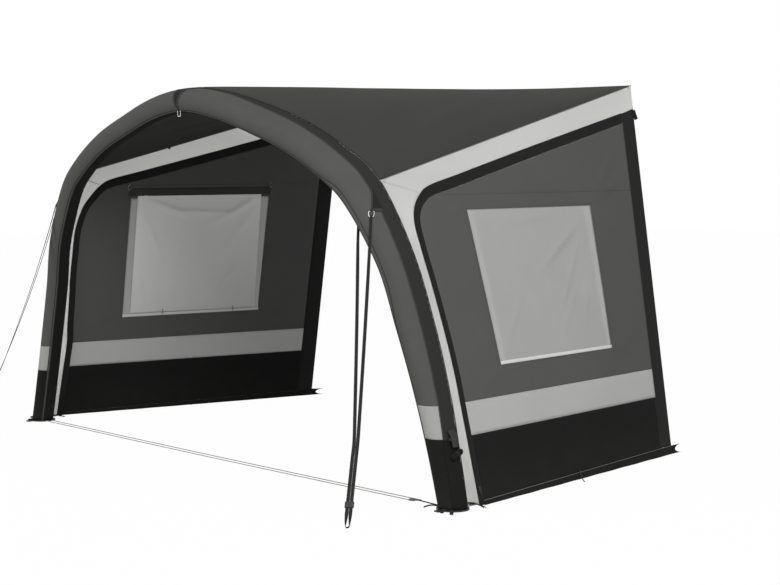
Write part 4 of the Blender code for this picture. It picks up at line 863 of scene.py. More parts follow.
def zipOutline(side):
    # outer and inner edges of the zip band, from the foot round the front corner to the rear strip
    y = np.array(zipLook[side]) * shape["depth"]
    z = np.array(zipLook["zShares"]) * shape["railHeight"]
    z[0] = shape["sleeveBottom"]
    startY, rise = zipLook["roofStart"][side], zipLook["roofRise"][side]
    roofY = np.linspace(startY, stripFront, 9)
    roof = np.stack([roofY, zipLook["roofZ"] + rise * (roofY - startY)], -1)
    outer = np.concatenate([np.stack([y, z], -1), roof])
    # it widens from three points before the corner to two past it
    k = np.arange(len(outer))
    d = unit(outer[np.minimum(k + 1, len(k) - 1)] - outer[np.maximum(k - 1, 0)])
    share = np.clip((k - corner + 3) / 5, 0, 1)
    width = zipLook["legWidth"] + (zipLook["roofWidth"] - zipLook["legWidth"]) * share
    inner = outer + np.stack([d[:, 1], -d[:, 0]], -1) * width[:, None]
    inner[:4] = outer[:4] + [zipLook["legWidth"], 0]
    inner[-1] = (stripFront, outer[-1, 1] - zipLook["roofWidth"])
    end = zipLook["roofZ"] + rise * (shape["depth"] - startY)
    per = zipLook["perStep"]
    return {"outer": smoothPath(outer, per), "inner": smoothPath(inner, per), "end": end,
            "front": inner[3, 0], "legY": y[0], "rearTop": outer[-1, 1]}


zips = {side: zipOutline(side) for side in (-1, 1)}


def inset(a, b, gapA, gapB):
    # both lines drawn towards each other by their gaps
    d = unit(b - a)
    return a + d * gapA, b - d * gapB


def shorten(line, start, end):
    # both ends of a line drawn in
    line = line.copy()
    line[0] += unit(line[1] - line[0]) * start
    line[-1] += unit(line[-2] - line[-1]) * end
    return line


def trimSheet(name, a, b, columns, node):
    # ruled from line a, at a seam's piping, to line b, at the zip
    grid = between(*inset(a, b, seamInset, foldGap), columns)
    piece = sheetPiece(name, grid, "trim", replaces=[node])


trimLook = {"footGap": 0.010, "railGap": 0.0041, "legColumns": 12, "roofColumns": 14, "piping": 0.0026,
            "jointHalf": 0.004, "jointLift": 0.0022, "jointThickness": 0.0008}


def roofEdge(side):
    # from the arch's shoulder to the rail's end, and the direction in under the roof
    tip = finPoint(np.array([5.0 * side]))[0]
    railEnd = np.array([side * shape["railHalf"], shape["depth"] + shiftY, shape["railHeight"]])
    return tip, railEnd, np.array([-side, 0, -1]) / math.sqrt(2)


def makeTrims(side, word):
    # light strips from the arch's fin, and from the roof's edge, to the zip
    look = trimLook
    per, zipLines, half = zipLook["perStep"], zips[side], seamGap / 2
    foot, bottom = shape["sleeveBottom"] + look["footGap"], shape["stripeBottom"]
    middle = np.linspace(bottom, shape["stripeTop"], 3)[1:]
    levels = np.concatenate([np.linspace(foot, bottom, 5), middle])
    t = np.concatenate([legStep(levels), np.arange(8.0, 4.9, -0.5)])
    cut = np.concatenate([levels, np.full(7, np.nan)])
    fin = toLevel(t * side, finPoint(t * side)[:, None], cut)[:, 0]
    fin = np.concatenate([fin[:-1], [(fin[-2] + fin[-1]) / 2], fin[-1:]])
    finLine = smoothPath(fin, per)
    straight = smoothPath(np.stack([np.full(7, zipLines["legY"]), levels], -1), per)[:-1]
    edge = np.concatenate([straight, zipLines["outer"][3 * per:corner * per + 1]])
    edgeLine = wallSurface(side, edge)
    trimSheet(f"trimLeg_{word}", shorten(finLine, 0, half), shorten(edgeLine, 0, half), look["legColumns"],
              f"trim_leg_{word}")
    rear = np.linspace(zipLines["outer"][-1], (shape["depth"], zipLines["end"]), per + 1)[1:]
    lowerLine = wallSurface(side, np.concatenate([zipLines["outer"][corner * per:], rear]))
    tip, railEnd, inward = roofEdge(side)
    upperLine = np.linspace(tip, railEnd, len(lowerLine))
    gap = look["railGap"]
    trimSheet(f"trimRoof_{word}", shorten(upperLine, half, gap), shorten(lowerLine, half, gap),
              look["roofColumns"], f"trim_roof_{word}")
    # grey piping where the roof cloth meets the trim, and the dark tape inside the joint of both strips
    rodPiece(f"roofEdgePiping_{word}", upperLine[1:-1], look["piping"], "greyCord", 8)
    joint = np.linspace(tip, wallSurface(side, zipLines["outer"][corner * per]), 14)[1:-1]
    tape = [joint + inward * look["jointLift"] + [0, reach * look["jointHalf"], 0] for reach in (-1, 0, 1)]
    sheetPiece(f"trimJoint_{word}", np.stack(tape, 1), "header", look["jointThickness"])


railTabLook = {   # its ends from the rail's line and the trim's lower edge
    "high": (-0.006, -0.010), "low": (0.016, -0.072), "out": 0.003, "width": 0.018, "thickness": 0.0018,
}
roofStudLook = {"shares": (0.33, 0.64), "radius": 0.009, "lower": 0.006, "inward": 0.004, "roundness": 1.04}


def makeRoofEdge(side, word):
    # webbing tab at the end of the rail, and balls with small flat ends under the roof's edge
    tab, end = railTabLook, np.array([shape["depth"], zips[side]["end"]])
    tabLine = wallSurface(side, np.linspace(end + tab["high"], end + tab["low"], 7), tab["out"])
    _, across, up = carriedFrame(tabLine, (side, 0, 0))
    strip = flatProfile(tab["thickness"], tab["width"])
    sweepPiece(f"railTab_{word}", tabLine, up, across, strip, "webbing")
    tip, railEnd, inward = roofEdge(side)
    look = roofStudLook
    ball = np.array([-1.0, -0.7, 0.0, 0.7, 1.0])
    for k, share in enumerate(look["shares"]):
        stud = tip + (railEnd - tip) * share + inward * look["lower"] - [side * look["inward"], 0, 0]
        rodPiece(f"roofStud_{word}_{k}", stud + np.outer(ball * look["radius"], [0, 1, 0]), look["radius"],
                 "plastic", scale=np.sqrt(look["roundness"] - ball**2))


chainLook = {"teeth": 1400, "heights": (0.0013, 0.0009), "widths": (0.0030, 0.0024),
             "thickness": 0.0004}


def makeZip(side, word):
    # band ruled from the zip's outer to its inner line, laid on the wall's surface
    outer, inner = zips[side]["outer"], zips[side]["inner"]
    size = np.linalg.norm(inner - outer, axis=-1)[:, None]
    s = seamGap / 2 / size + (1 - seamGap / size) * np.linspace(0, 1, 11)
    grid = wallSurface(side, outer[:, None] + (inner - outer)[:, None] * s[..., None])
    piece = sheetPiece(f"zipBand_{word}", grid, "zip", replaces=[f"zip_band_{word}"])
    # the chain: teeth of two heights and widths along the middle of the band, one every 3 mm
    teeth = np.arange(chainLook["teeth"])
    middle = resample((outer + inner) / 2, len(teeth))
    heading = unit(np.gradient(middle, axis=0))
    normal = np.stack([heading[:, 1], -heading[:, 0]], -1)
    tooth = np.where(teeth % 2 == 0, *chainLook["heights"])
    wide = np.where(teeth % 4 < 2, *chainLook["widths"])
    offsets = np.array([-1.0, -0.8, 0.8, 1.0])
    chain = middle[:, None] + normal[:, None] * (offsets[None, :, None] * wide[:, None, None])
    lift = tooth[:, None] * np.array([0.2, 1, 1, 0.2])
    sheetPiece(f"zipChain_{word}", wallSurface(side, chain, lift), "zip", chainLook["thickness"])


def wallLoop(side):
    # the outline of the grey panel and the points of the window's edge that face it, both once round
    per, inner = zipLook["perStep"], zips[side]["inner"]
    rearTop, rearLow = inner[-1], (stripFront, shape["stripeTop"])
    runs = [inner[3 * per:(corner - 1) * per + 1], inner[(corner - 1) * per:],
            np.linspace(rearTop, rearLow, 41), np.linspace(rearLow, inner[3 * per], 71)]
    frameCorners = [np.array(window[k]) for k in ("bottomFront", "topFront", "topRear", "bottomRear")]
    outline, opening = [], []
    for k, run in enumerate(runs):
        s = (lengths(run) / lengths(run)[-1])[:-1, None]
        outline.append(run[:-1])
        opening.append(frameCorners[k] + (frameCorners[(k + 1) % 4] - frameCorners[k]) * s)
    return np.concatenate(outline), np.concatenate(opening)


def makeWallPanel(side, word):
    # straight columns from the window's edge out to the outline, laid on the wall's surface
    outline, opening = wallLoop(side)
    size = np.linalg.norm(outline - opening, axis=-1)[None]
    s = seamGap / 2 / size + (1 - seamGap / size) * np.linspace(0, 1, 25)[:, None]
    yz = opening + (outline - opening) * s[..., None]
    uv = np.concatenate([yz, yz[:, :1]], 1)
    grid = wallSurface(side, yz)
    piece = sheetPiece(f"wallPanel_{word}", grid, "wall", closed=True, uv=uv,
                       replaces=[f"wall_panel_{word}"])
    # the sewn frame of the window, outside and inside, and the seam above it
    look = wallLook
    for name, face in (("windowFrame", 1), ("windowFrameInside", -1)):
        reach = np.linspace(0.0, look["frameWidth"], 4)[:, None] / size
        tape = wallSurface(side, opening + (outline - opening) * reach[..., None], face * look["frameOut"])
        sheetPiece(f"{name}_{word}", tape, "greyTape", look["frameThickness"], closed=True)
    inner, level = zips[side]["inner"], look["seamHeight"]
    front = inner[np.argmax(inner[:, 1] > level), 0]
    y = np.linspace(front + look["seamEnds"][0], stripFront - look["seamEnds"][1], 90)[:, None]
    for name, face in (("wallSeam", 1), ("wallSeamInside", -1)):
        z = level + np.linspace(-look["seamHalf"], look["seamHalf"], 4)
        strip = wallSurface(side, np.stack(np.broadcast_arrays(y, z), -1), face * look["seamOut"])
        sheetPiece(f"{name}_{word}", strip, "greyTape", look["seamThickness"])


windowCreases = [   # in shares along and down the film, height and half width
    ((0.98, 0.03), (0.46, 0.44), 0.0280, 0.016), ((0.92, 0.10), (0.60, 0.70), 0.0200, 0.015),
    ((0.98, 0.20), (0.74, 0.96), 0.0160, 0.014), ((0.30, 0.55), (0.04, 0.95), 0.0140, 0.018),
    ((0.70, 0.04), (0.30, 0.10), 0.0180, 0.016), ((0.80, 0.50), (0.56, 0.90), 0.0150, 0.014),
]


windowLook = {"along": 60, "down": 44, "ripple": 0.0010, "rippleSize": 0.30, "thickness": 0.0006,
              "sill": (-0.008, -0.001, 0.006, 0.013), "sillOut": 0.0030, "sillThickness": 0.0016}


def makeWindow(side, word):
    # film ruled between its upper and lower edge, flat at its seams, with ripples and creases in between
    look = windowLook
    corners = {k: np.array(v) for k, v in window.items()}
    s = np.linspace(0, 1, look["along"] + 1)[:, None]
    top = corners["topFront"] + (corners["topRear"] - corners["topFront"]) * s
    bottom = corners["bottomFront"] + (corners["bottomRear"] - corners["bottomFront"]) * s
    yz = between(top, bottom, look["down"])
    along, down = np.broadcast_arrays(s, np.linspace(0, 1, look["down"] + 1)[None])
    away = np.sin(math.pi * along) * np.sin(math.pi * down)
    out = away**0.5 * look["ripple"] * waves(yz[..., 0] * 2.0, yz[..., 1], 31, look["rippleSize"])
    out = out + away**0.5 * ridges(along, down, windowCreases)
    grid = wallSurface(side, yz, out)
    piece = sheetPiece(f"windowFilm_{word}", grid, "film", look["thickness"],
                       replaces=[f"window_film_{word}"])
    # pale welt along the window's sill
    line = resample(bottom, 60)
    strip = np.stack([line + [0, z] for z in look["sill"]], 1)
    for name, face in (("windowSill", 1), ("windowSillInside", -1)):
        welt = wallSurface(side, strip, face * look["sillOut"])
        sheetPiece(f"{name}_{word}", welt, "sill", look["sillThickness"])


curtainLook = {
    "topFront": 0.535, "topRear": 1.625, "bottomFront": 0.60, "bottomRear": 1.68,
    "top": 1.70, "bottom": 0.785, "standoff": 0.0055,
    "folds": 7, "foldDepth": 0.007, "foldShare": 0.55, "foldDrift": 0.06,
    "edgeShare": 0.35, "thickness": 0.0009,
    "headerFront": 0.455, "headerRear": 1.715, "headerLow": 1.688, "headerHigh": 1.745,
    "headerStandoff": 0.0020, "headerOut": 0.0036, "headerWave": 0.0006, "headerThickness": 0.0010,
    "hemHeights": (-0.001, 0.008, 0.016), "hemOut": 0.0066, "hemThickness": 0.0008,
}
curtainFolds = [   # in shares across and down: swags from the top corners, drags to the lower rear corner
    ((0.02, 0.02), (0.44, 0.20), 0.0210, 0.028), ((0.99, 0.02), (0.60, 0.26), 0.0270, 0.026),
    ((0.24, 0.14), (0.80, 0.17), 0.0180, 0.024), ((0.99, 0.08), (0.68, 0.52), 0.0130, 0.030),
    ((0.01, 0.08), (0.22, 0.56), 0.0110, 0.030), ((0.86, 0.62), (0.56, 0.93), 0.0180, 0.024),
    ((0.97, 0.72), (0.70, 0.97), 0.0090, 0.026), ((0.03, 0.60), (0.10, 0.97), 0.0080, 0.022),
]


def makeCurtain(side, word):
    # hung from its header: shallow folds that widen between the hems, with swags and drags
    look = curtainLook
    s, u = np.linspace(0, 1, 111)[:, None], np.linspace(0, 1, 121)[None]
    front = look["topFront"] + (look["bottomFront"] - look["topFront"]) * s
    rear = look["topRear"] + (look["bottomRear"] - look["topRear"]) * s
    y = front + (rear - front) * u
    z = np.broadcast_to(look["top"] + (look["bottom"] - look["top"]) * s, y.shape)
    hang = -look["headerStandoff"] - (look["standoff"] - look["headerStandoff"]) * np.minimum(1, 10 * s)
    swell = np.sin(math.pi * s) * (look["edgeShare"] + (1 - look["edgeShare"]) * np.sin(math.pi * u))
    wave = 0.5 - 0.5 * np.cos(turn * look["folds"] * (u + look["foldDrift"] * s))
    out = hang - look["foldDepth"] * wave * swell * look["foldShare"]
    out = out - np.sin(math.pi * s) ** 0.3 * ridges(u, s * np.ones_like(u), curtainFolds)
    grid = wallSurface(side, np.stack([y, z], -1), out)
    piece = sheetPiece(f"curtain_{word}", grid, "curtain", look["thickness"],
                       replaces=[f"curtain_{word}"])
    across = np.linspace(look["headerFront"], look["headerRear"], 80)
    heights = np.linspace(look["headerLow"], look["headerHigh"], 8)
    strip = np.stack(np.broadcast_arrays(across[:, None], heights), -1)
    out = -look["headerOut"] - look["headerWave"] * np.sin(across * 60)[:, None]
    header = wallSurface(side, strip, out)
    sheetPiece(f"curtainHeader_{word}", header, "header", look["headerThickness"])
    # hem, sewn up at the curtain's foot
    low = np.stack([y[-1], z[-1]], -1)
    hem = wallSurface(side, np.stack([low + [0, h] for h in look["hemHeights"]], 1), -look["hemOut"])
    sheetPiece(f"curtainHem_{word}", hem, "curtain", look["hemThickness"])
    makeToggles(side, word)


toggleLook = {"places": ((0.452, 1.752), (1.704, 1.760)), "length": 0.034, "radius": 0.0055, "out": 0.0140,
              "slope": (0.25, 0.45), "endShare": 0.62, "waist": 0.2, "waistShare": 0.25,
              "loop": 0.0016, "loopHalf": (0.010, 0.020), "loopOut": 0.0075}
curtainHookLook = {"places": ((0.87, 0.775), (1.48, 0.772)), "length": 0.030, "bend": 0.007, "out": 0.0125,
                   "sway": 0.002, "radius": 0.0022, "tail": 0.3}


def makeToggles(side, word):
    # barrel toggles on pale loops hold the header; small black hooks keep the curtain's foot
    look = toggleLook
    for k, (y, z) in enumerate(look["places"]):
        s = np.linspace(-1, 1, 13)
        forward, up = look["slope"]
        line = np.stack([y + forward * s * look["length"], z + up * s * look["length"]], -1)
        barrel = look["endShare"] + (1 - look["endShare"]) * np.sqrt(np.clip(1 - s**4, 0, 1))
        rodPiece(f"toggle_{word}_{k}", wallSurface(side, line, -look["out"]), look["radius"], "plastic",
                 scale=barrel * (1 - look["waistShare"] * (np.abs(s) < look["waist"])))
        a = np.linspace(0, turn, 25)
        wide, high = look["loopHalf"]
        loop = np.stack([y + wide * np.sin(a), z + high * np.cos(a)], -1)
        loop = wallSurface(side, loop, -look["loopOut"])
        rodPiece(f"toggleLoop_{word}_{k}", loop, look["loop"], "paleCord", 8)
    look = curtainHookLook
    for k, (y, z) in enumerate(look["places"]):
        a = np.linspace(-look["tail"], 1, 22)
        bent = y + look["bend"] * np.sin(math.pi * np.clip(a * 2, 0, 1))
        hook = np.stack([bent, z + look["length"] * a], -1)
        line = wallSurface(side, hook, -look["out"] - look["sway"] * np.cos(a * 3))
        rodPiece(f"curtainHook_{word}_{k}", line, look["radius"], "plastic", 8)


def hemHeight(y):
    # straight line from the front height to the rear one
    return shape["hemFront"] + (shape["hemRear"] - shape["hemFront"]) * y / shape["depth"]


skirtLook = {"foot": {1: 0.0050, -1: 0.0100}, "past": (0.004, 0.085), "point": 0.028, "notch": 0.045,
             "flutter": 0.0022, "flutterRate": 21, "flutterFrom": (0.2, 0.5),
             "weltOut": 0.0014, "weltRadius": 0.0021, "weltPast": 0.03}


def makeLowerWall(side, word):
    wallFront = zips[side]["front"]
    y = np.linspace(wallFront + seamGap / 2, stripFront - seamGap / 2, 121)
    top, bottom = shape["stripeTop"], shape["stripeBottom"]
    half = seamGap / 2

    def band(name, high, low, rows, finish, node):
        s = np.linspace(0, 1, rows)[None]
        z = high[:, None] + (low - high)[:, None] * s
        yz = np.stack(np.broadcast_arrays(y[:, None], z), -1)
        grid = wallSurface(side, yz)
        piece = sheetPiece(name, grid, finish, replaces=[node])

    level = np.ones_like(y)
    band(f"wallStripe_{word}", (top - half) * level, (bottom + half) * level, 10, "stripe",
         f"wall_stripe_{word}")
    band(f"mudWall_{word}", (bottom - half) * level, hemHeight(y) + half, 22, "mud", f"mud_wall_{word}")
    # ground skirt: its two rear points reach past the line of the rail, with a notch between them
    look, depth = skirtLook, shape["depth"]
    past = np.linspace(*look["past"], 14)
    along = np.concatenate([np.linspace(wallFront + half, depth, 120), depth + past])
    s = np.linspace(0, 1, 17)[None]
    foot = look["foot"][side]
    z = foot + (hemHeight(np.minimum(along, depth))[:, None] - half - foot) * s
    past = np.maximum(along - depth, 0)[:, None] / look["past"][1]
    points = look["point"] * np.abs(2 * s - 1) ** 7 - look["notch"] * np.sin(math.pi * s)
    yy = along[:, None] + past * points
    flutter = look["flutter"] * np.sin(yy * look["flutterRate"] + 1.3) * (1 - s)
    flutter = flutter * ease(yy, *look["flutterFrom"])
    grid = wallSurface(side, np.stack([yy, z], -1), flutter)
    piece = sheetPiece(f"hem_{word}", grid, "mud", replaces=[f"hem_{word}"])
    line = np.linspace(wallFront + look["past"][0], depth + look["weltPast"], 160)
    welt = wallSurface(side, np.stack([line, hemHeight(line)], -1), look["weltOut"])
    rodPiece(f"hemPiping_{word}", welt, look["weltRadius"], "greyCord", 8)
    makeHemHook(side, word)


hemHookLook = {   # points of its wire: drops from its top, heights over the ground, ways out and forward
    "y": {1: 1.15, -1: 1.28}, "radius": 0.0032, "rise": 0.016, "drops": (0.012, 0, 0.006, 0.030),
    "heights": (0.016, 0.0042, 0.0042), "out": (-0.009, 0.004, 0.014, 0.020, 0.034, 0.048, 0.060),
    "forward": (0, 0, 0, 0.004, 0.012, 0.020, 0.026),
}


def makeHemHook(side, word):
    # bent wire peg hooked over the skirt's piping, its foot on the ground outside the wall
    look = hemHookLook
    top = hemHeight(look["y"][side]) + look["rise"]
    z = np.concatenate([top - np.array(look["drops"]), look["heights"]])
    line = np.stack([look["y"][side] - np.array(look["forward"]), z], -1)
    wire = smoothPath(wallSurface(side, line, np.array(look["out"])), 6)
    rodPiece(f"hemHook_{word}", wire, look["radius"], "plastic", 8)


padLook = {"footGap": 0.001, "topGap": 0.004, "rearGap": 0.001, "edge": 0.0006, "swell": 0.0034,
           "quilt": 0.22, "quiltShare": 0.28, "endShare": 0.01}


def makeRearPad(side, word):
    # foam strip at the wall's rear edge: crowned between its edges, quilted, drawn in at the seams
    look = padLook
    low, high = hemHeight(stripFront) + look["footGap"], zips[side]["rearTop"] - look["topGap"]
    z = np.linspace(0, 1, 141)[:, None]
    s = np.linspace(0, 1, 17)[None]
    top = high + (zips[side]["end"] - high) * s
    height = low + (hemHeight(shape["depth"]) - low) * s
    zz = height + (top - height) * z
    yy = np.broadcast_to(stripFront + seamGap / 2 + (shape["rearStrip"] - look["rearGap"]) * s, zz.shape)
    quilting = np.abs(np.sin(math.pi * (zz - low) / look["quilt"])) ** 0.4
    crown = np.sin(math.pi * s) ** 0.5 * (1 - look["quiltShare"] + look["quiltShare"] * quilting)
    ends = ease(z, 0.0, look["endShare"]) * easeOff(z, 1 - look["endShare"], 1.0)
    half = look["edge"] + look["swell"] * crown * ends
    middle = -look["swell"] * np.minimum(1, 10 * s) ** 0.5
    outer = wallSurface(side, np.stack([yy, zz], -1), middle + half)
    inner = wallSurface(side, np.stack([yy, zz], -1), middle - half)
    mesh = shellMesh(f"rearPad_{word}", np.concatenate([outer, inner[:, ::-1]], 1))
    piece = addPiece(f"rearPad_{word}", mesh, "pad", "awning", [f"rear_pad_{word}"])


for side, word in bothSides:
    makeTrims(side, word)
    makeRoofEdge(side, word)
    makeZip(side, word)
    makeWallPanel(side, word)
    makeWindow(side, word)
    makeCurtain(side, word)
    makeLowerWall(side, word)
    makeRearPad(side, word)
print("walls made")


# Patches with their rings

panelColumns = {"front": 9, "side": 5}   # places across the sleeve count in these from the inner seam


def columnShare(t, column):
    # the front panel's columns first, then the side panel's
    low, seamLow = shareIn("front", shape["innerHem"])(t), seamAt(-seamGap / 2)(t)
    seamHigh, end = seamAt(seamGap / 2)(t), shareOut("front", seamInset)(t)
    onFront = low + (seamLow - low) * column / panelColumns["front"]
    onSide = seamHigh + (end - seamHigh) * (column - panelColumns["front"]) / panelColumns["side"]
    return np.where(column <= panelColumns["front"], onFront, onSide)


def ringFacts(node, pull):
    # the ring's lowest point along its hang, the hang and the bar's direction, from the ring's own mesh
    points = np.array([v.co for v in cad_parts[node].data.vertices])
    middle = points.mean(0)
    normal = np.linalg.svd(points - middle, full_matrices=False)[2][2]
    pull = unit(np.asarray(pull, float) - middle)
    hang = unit(pull - normal * (pull @ normal))
    bar = np.cross(normal, hang)
    wire = (points @ normal).max() - (points @ normal).min()
    flat = middle - hang * (middle @ hang) - bar * (middle @ bar)
    side = ((points @ bar).max() + (points @ bar).min()) / 2
    bow = flat + bar * side + hang * ((points @ hang).max() - wire / 2)
    top = flat + bar * side + hang * ((points @ hang).min() + wire / 2)
    return bow, hang, bar, top, wire / 2


patchLook = {"tipHalf": 0.012, "lift": 0.0016, "thickness": 0.0012,
             "binding": 0.05, "bindingShare": 0.45, "bindingLift": 0.0026, "bindingThickness": 0.0008}
eyeLook = {"width": 0.016, "thickness": 0.0012, "ends": (0.002, 0.016), "lean": 0.15}


def makePatch(name, node, ring, pull, patch, side):
    # triangle of dark cloth that narrows to the ring's eye
    look = patchLook
    s = np.linspace(0, 1, 41)
    tFrom, tTo, tTip = side * patch["from"], side * patch["to"], side * patch["tip"]
    tip = look["tipHalf"] * np.sign(tTo - tFrom)
    start, end = tFrom + (tTip - tip - tFrom) * s, tTo + (tTip + tip - tTo) * s
    column = patch["topColumn"] + (patch["tipColumn"] - patch["topColumn"]) * s
    j = np.linspace(0, 1, 21)
    rows = []
    for a, b, c in zip(start, end, column):
        t = a + (b - a) * j
        rows.append(sleevePoint(t, columnShare(t, c)[:, None], "front", look["lift"])[0][:, 0])
    grid = np.array(rows)
    piece = sheetPiece(name, grid, "patch", look["thickness"], replaces=[node])
    for edge, word in ((0, "a"), (1, "b")):
        # sewn binding along both long edges
        t = (start, end)[edge]
        wide = np.minimum(look["binding"], np.abs(end - start) * look["bindingShare"])
        inner = t + np.sign((end - start) * (1 - 2 * edge)) * wide
        across, lift = columnShare(t, column)[:, None], look["bindingLift"]
        strip = [sleevePoint(t + (inner - t) * k, across, "front", lift)[0][:, 0]
                 for k in np.linspace(0, 1, 4)]
        sheetPiece(f"{name}Binding_{word}", np.stack(strip, 1), "darkTape", look["bindingThickness"])
    _, hang, bar, top, wire = ringFacts(ring, pull)
    # webbing eye: once round the ring's bar, with both ends sewn down on the patch
    away = unit(np.cross(bar, hang))
    away = away if away @ (top - archCentre(np.array([tTip]))[0]) > 0 else -away
    a = np.linspace(-0.25 * math.pi, 1.25 * math.pi, 25)
    radius = wire + eyeLook["thickness"]
    arc = top + radius * (np.outer(np.cos(a), hang) + np.outer(np.sin(a), away))
    leg = arc[-1] + np.outer(np.linspace(*eyeLook["ends"], 5), unit(-hang - eyeLook["lean"] * away))
    path = np.concatenate([arc, leg])
    along = unit(np.gradient(path, axis=0))
    across = np.broadcast_to(bar, path.shape)
    sweepPiece(f"{name}Eye", path, across, np.cross(across, along),
               flatProfile(eyeLook["width"], eyeLook["thickness"]), "webbing")


pegs = {1: (2.244, -0.834), -1: (-2.164, -0.734)}   # of the storm straps, in x and y from the front line


def pegPlace(side):
    # the storm strap's peg, on the ground
    return np.array([pegs[side][0], pegs[side][1] + shiftY, 0])


shoulderPatch = {"from": 5.0, "to": 5.42, "tip": 5.34, "topColumn": 9.8, "tipColumn": 6.95}
apexPatch = {"from": -0.24, "to": 0.24, "tip": 0.0, "topColumn": 8.8, "tipColumn": 0.57}
strapLook = {
    "width": 0.020, "thickness": 0.0016, "topWidth": 0.016, "tail": 0.035, "spacing": 0.0206,
    "straight": 0.34, "sag": 0.08, "bowShare": 0.25, "buckleLength": 0.034,
    "loopFloor": 0.0075, "loopLength": 0.115, "loopHalf": 0.011, "loopTurnShare": 0.85,
    "sewnStep": {1: 5.25, -1: 5.78}, "sewnReach": 0.12,
    "sewnShare": 0.88, "sewnColumn": 6, "sewnLift": 0.0032, "wrapGap": 0.0003,
}


def strapRows(side, word):
    # one webbing: sewn round the ring, down through the buckle, round the peg, back up to the sleeve
    look = strapLook
    peg = pegPlace(side)
    bow, hang, bar, _, wire = ringFacts(f"shoulder_ring_{word}", peg)
    foot = peg + [0, 0, look["loopFloor"]]
    straight = unit(foot - bow)
    back = unit(np.array([-straight[0], -straight[1], 0]))
    wide = unit(np.array([straight[1], -straight[0], 0]))
    wide = wide if wide[0] * side > 0 else -wide
    lower = look["loopLength"] + look["buckleLength"] / 2 + look["straight"]
    split = foot - straight * lower + back * look["sag"]
    down = unit(foot - split)
    bar = bar if bar @ wide > 0 else -bar
    away = unit(np.cross(bar, hang))
    tip = archCentre(np.array([side * shoulderPatch["tip"]]))[0]
    away = away if away @ (bow - tip) > 0 else -away
    wrap = wire + look["wrapGap"] + look["thickness"] / 2
    rows = [(bow - away * wrap + hang * look["tail"], bar, look["topWidth"])]
    for angle in np.linspace(0, math.pi, 7):
        turned = away * wrap * math.cos(angle) + hang * wrap * math.sin(angle)
        rows.append((bow - turned, bar, look["topWidth"]))
    start, offset = bow + away * wrap, wide * look["spacing"] / 2

    def hung(a, b, s):
        return a + (b - a) * s + back * look["sag"] * look["bowShare"] * 4 * s * (1 - s)

    for s in np.arange(1, 10) / 9:
        turned = min(1, 3 * s)
        rows.append((hung(start, split + offset, s), unit(bar + (wide - bar) * turned),
                     look["topWidth"] + (look["width"] - look["topWidth"]) * turned))
    bottom = foot - down * look["loopLength"] * look["loopTurnShare"]
    for s in (0.25, 0.5, 0.75, 1.0):
        rows.append((split + (bottom - split) * s + offset, wide, look["width"]))
    flat, centre, half = np.cross(wide, down), foot - down * look["loopHalf"], look["loopHalf"]
    for s in (0.2, 0.4, 0.6, 0.8, 1.0):
        angle = math.pi / 2 * s
        place = (bottom + offset) + (centre + wide * half - bottom - offset) * s
        rows.append((place, wide * math.cos(angle) + flat * math.sin(angle), look["width"]))
    for angle in math.pi * np.arange(1, 6) / 6:
        turned = wide * half * math.cos(angle) + down * half * math.sin(angle)
        rows.append((centre + turned, flat, look["width"]))
    for s in (0, 0.2, 0.4, 0.6, 0.8):
        angle = math.pi / 2 * (1 - s)
        place = (centre - wide * half) + (bottom - offset - centre + wide * half) * s
        rows.append((place, wide * math.cos(angle) + flat * math.sin(angle), look["width"]))
    for s in (0, 0.25, 0.5, 0.75, 1.0):
        rows.append((bottom + (split - bottom) * s - offset, wide, look["width"]))
    t = side * (look["sewnStep"][side] - np.array([0, look["sewnReach"]]))
    if side > 0:
        sewn = sleevePoint(t, np.array([[look["sewnShare"]]]), "inner", look["sewnLift"])[0][:, 0]
    else:
        place = columnShare(t, look["sewnColumn"])[:, None]
        sewn = sleevePoint(t, place, "front", look["sewnLift"])[0][:, 0]
    normal = unit(sewn[0] - archCentre(t[:1])[0])
    lie = unit(np.cross(normal, sewn[1] - sewn[0]))
    lie = lie if lie @ wide > 0 else -lie
    for s in np.arange(1, 9) / 9:
        turned = unit(wide + (lie - wide) * max(0, 3 * s - 2))
        rows.append((hung(split - offset, sewn[0], s), turned, look["width"]))
    rows += [(sewn[0], lie, look["width"]), (sewn[1], lie, look["width"])]
    return rows


def makeStormStrap(side, word):
    # flat profile carried along a smooth curve through the rows, turned and widened from row to row
    look = strapLook
    rows = strapRows(side, word)
    path = smoothPath(np.array([r[0] for r in rows]), 6)
    across = unit(smoothPath(np.array([r[1] for r in rows]), 6))
    width = smoothPath(np.array([[r[2]] for r in rows]), 6)[:, 0]
    along = unit(np.gradient(path, axis=0))
    up = unit(np.cross(across, along))
    scale = np.stack([width / look["width"], np.ones_like(width)], -1)
    profile = flatProfile(look["width"], look["thickness"])
    piece = sweepPiece(f"stormStrap_{word}", path, across, up, profile, "webbing", scale,
                       replaces=[f"storm_strap_{word}"])


for side, word in bothSides:
    makePatch(f"shoulderPatch_{word}", f"shoulder_patch_{word}", f"shoulder_ring_{word}", pegPlace(side),
              shoulderPatch, side)
    makeStormStrap(side, word)
below = np.array([0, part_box("apex_ring")[0].y, 0])
makePatch("apexPatch", "apex_patch", "apex_ring", below, apexPatch, 1)
print("straps made")

groundCord = {"radius": 0.0026, "height": 0.0060, "halfSpacing": 0.024, "buckleX": 1.90, "drift": 0.0035,
              "footRadius": 0.096, "endGap": 0.0006, "webWidth": 0.020, "webThickness": 0.0016,
              "webStart": 1.9505, "webHeight": 0.0092, "webFoot": 0.004}


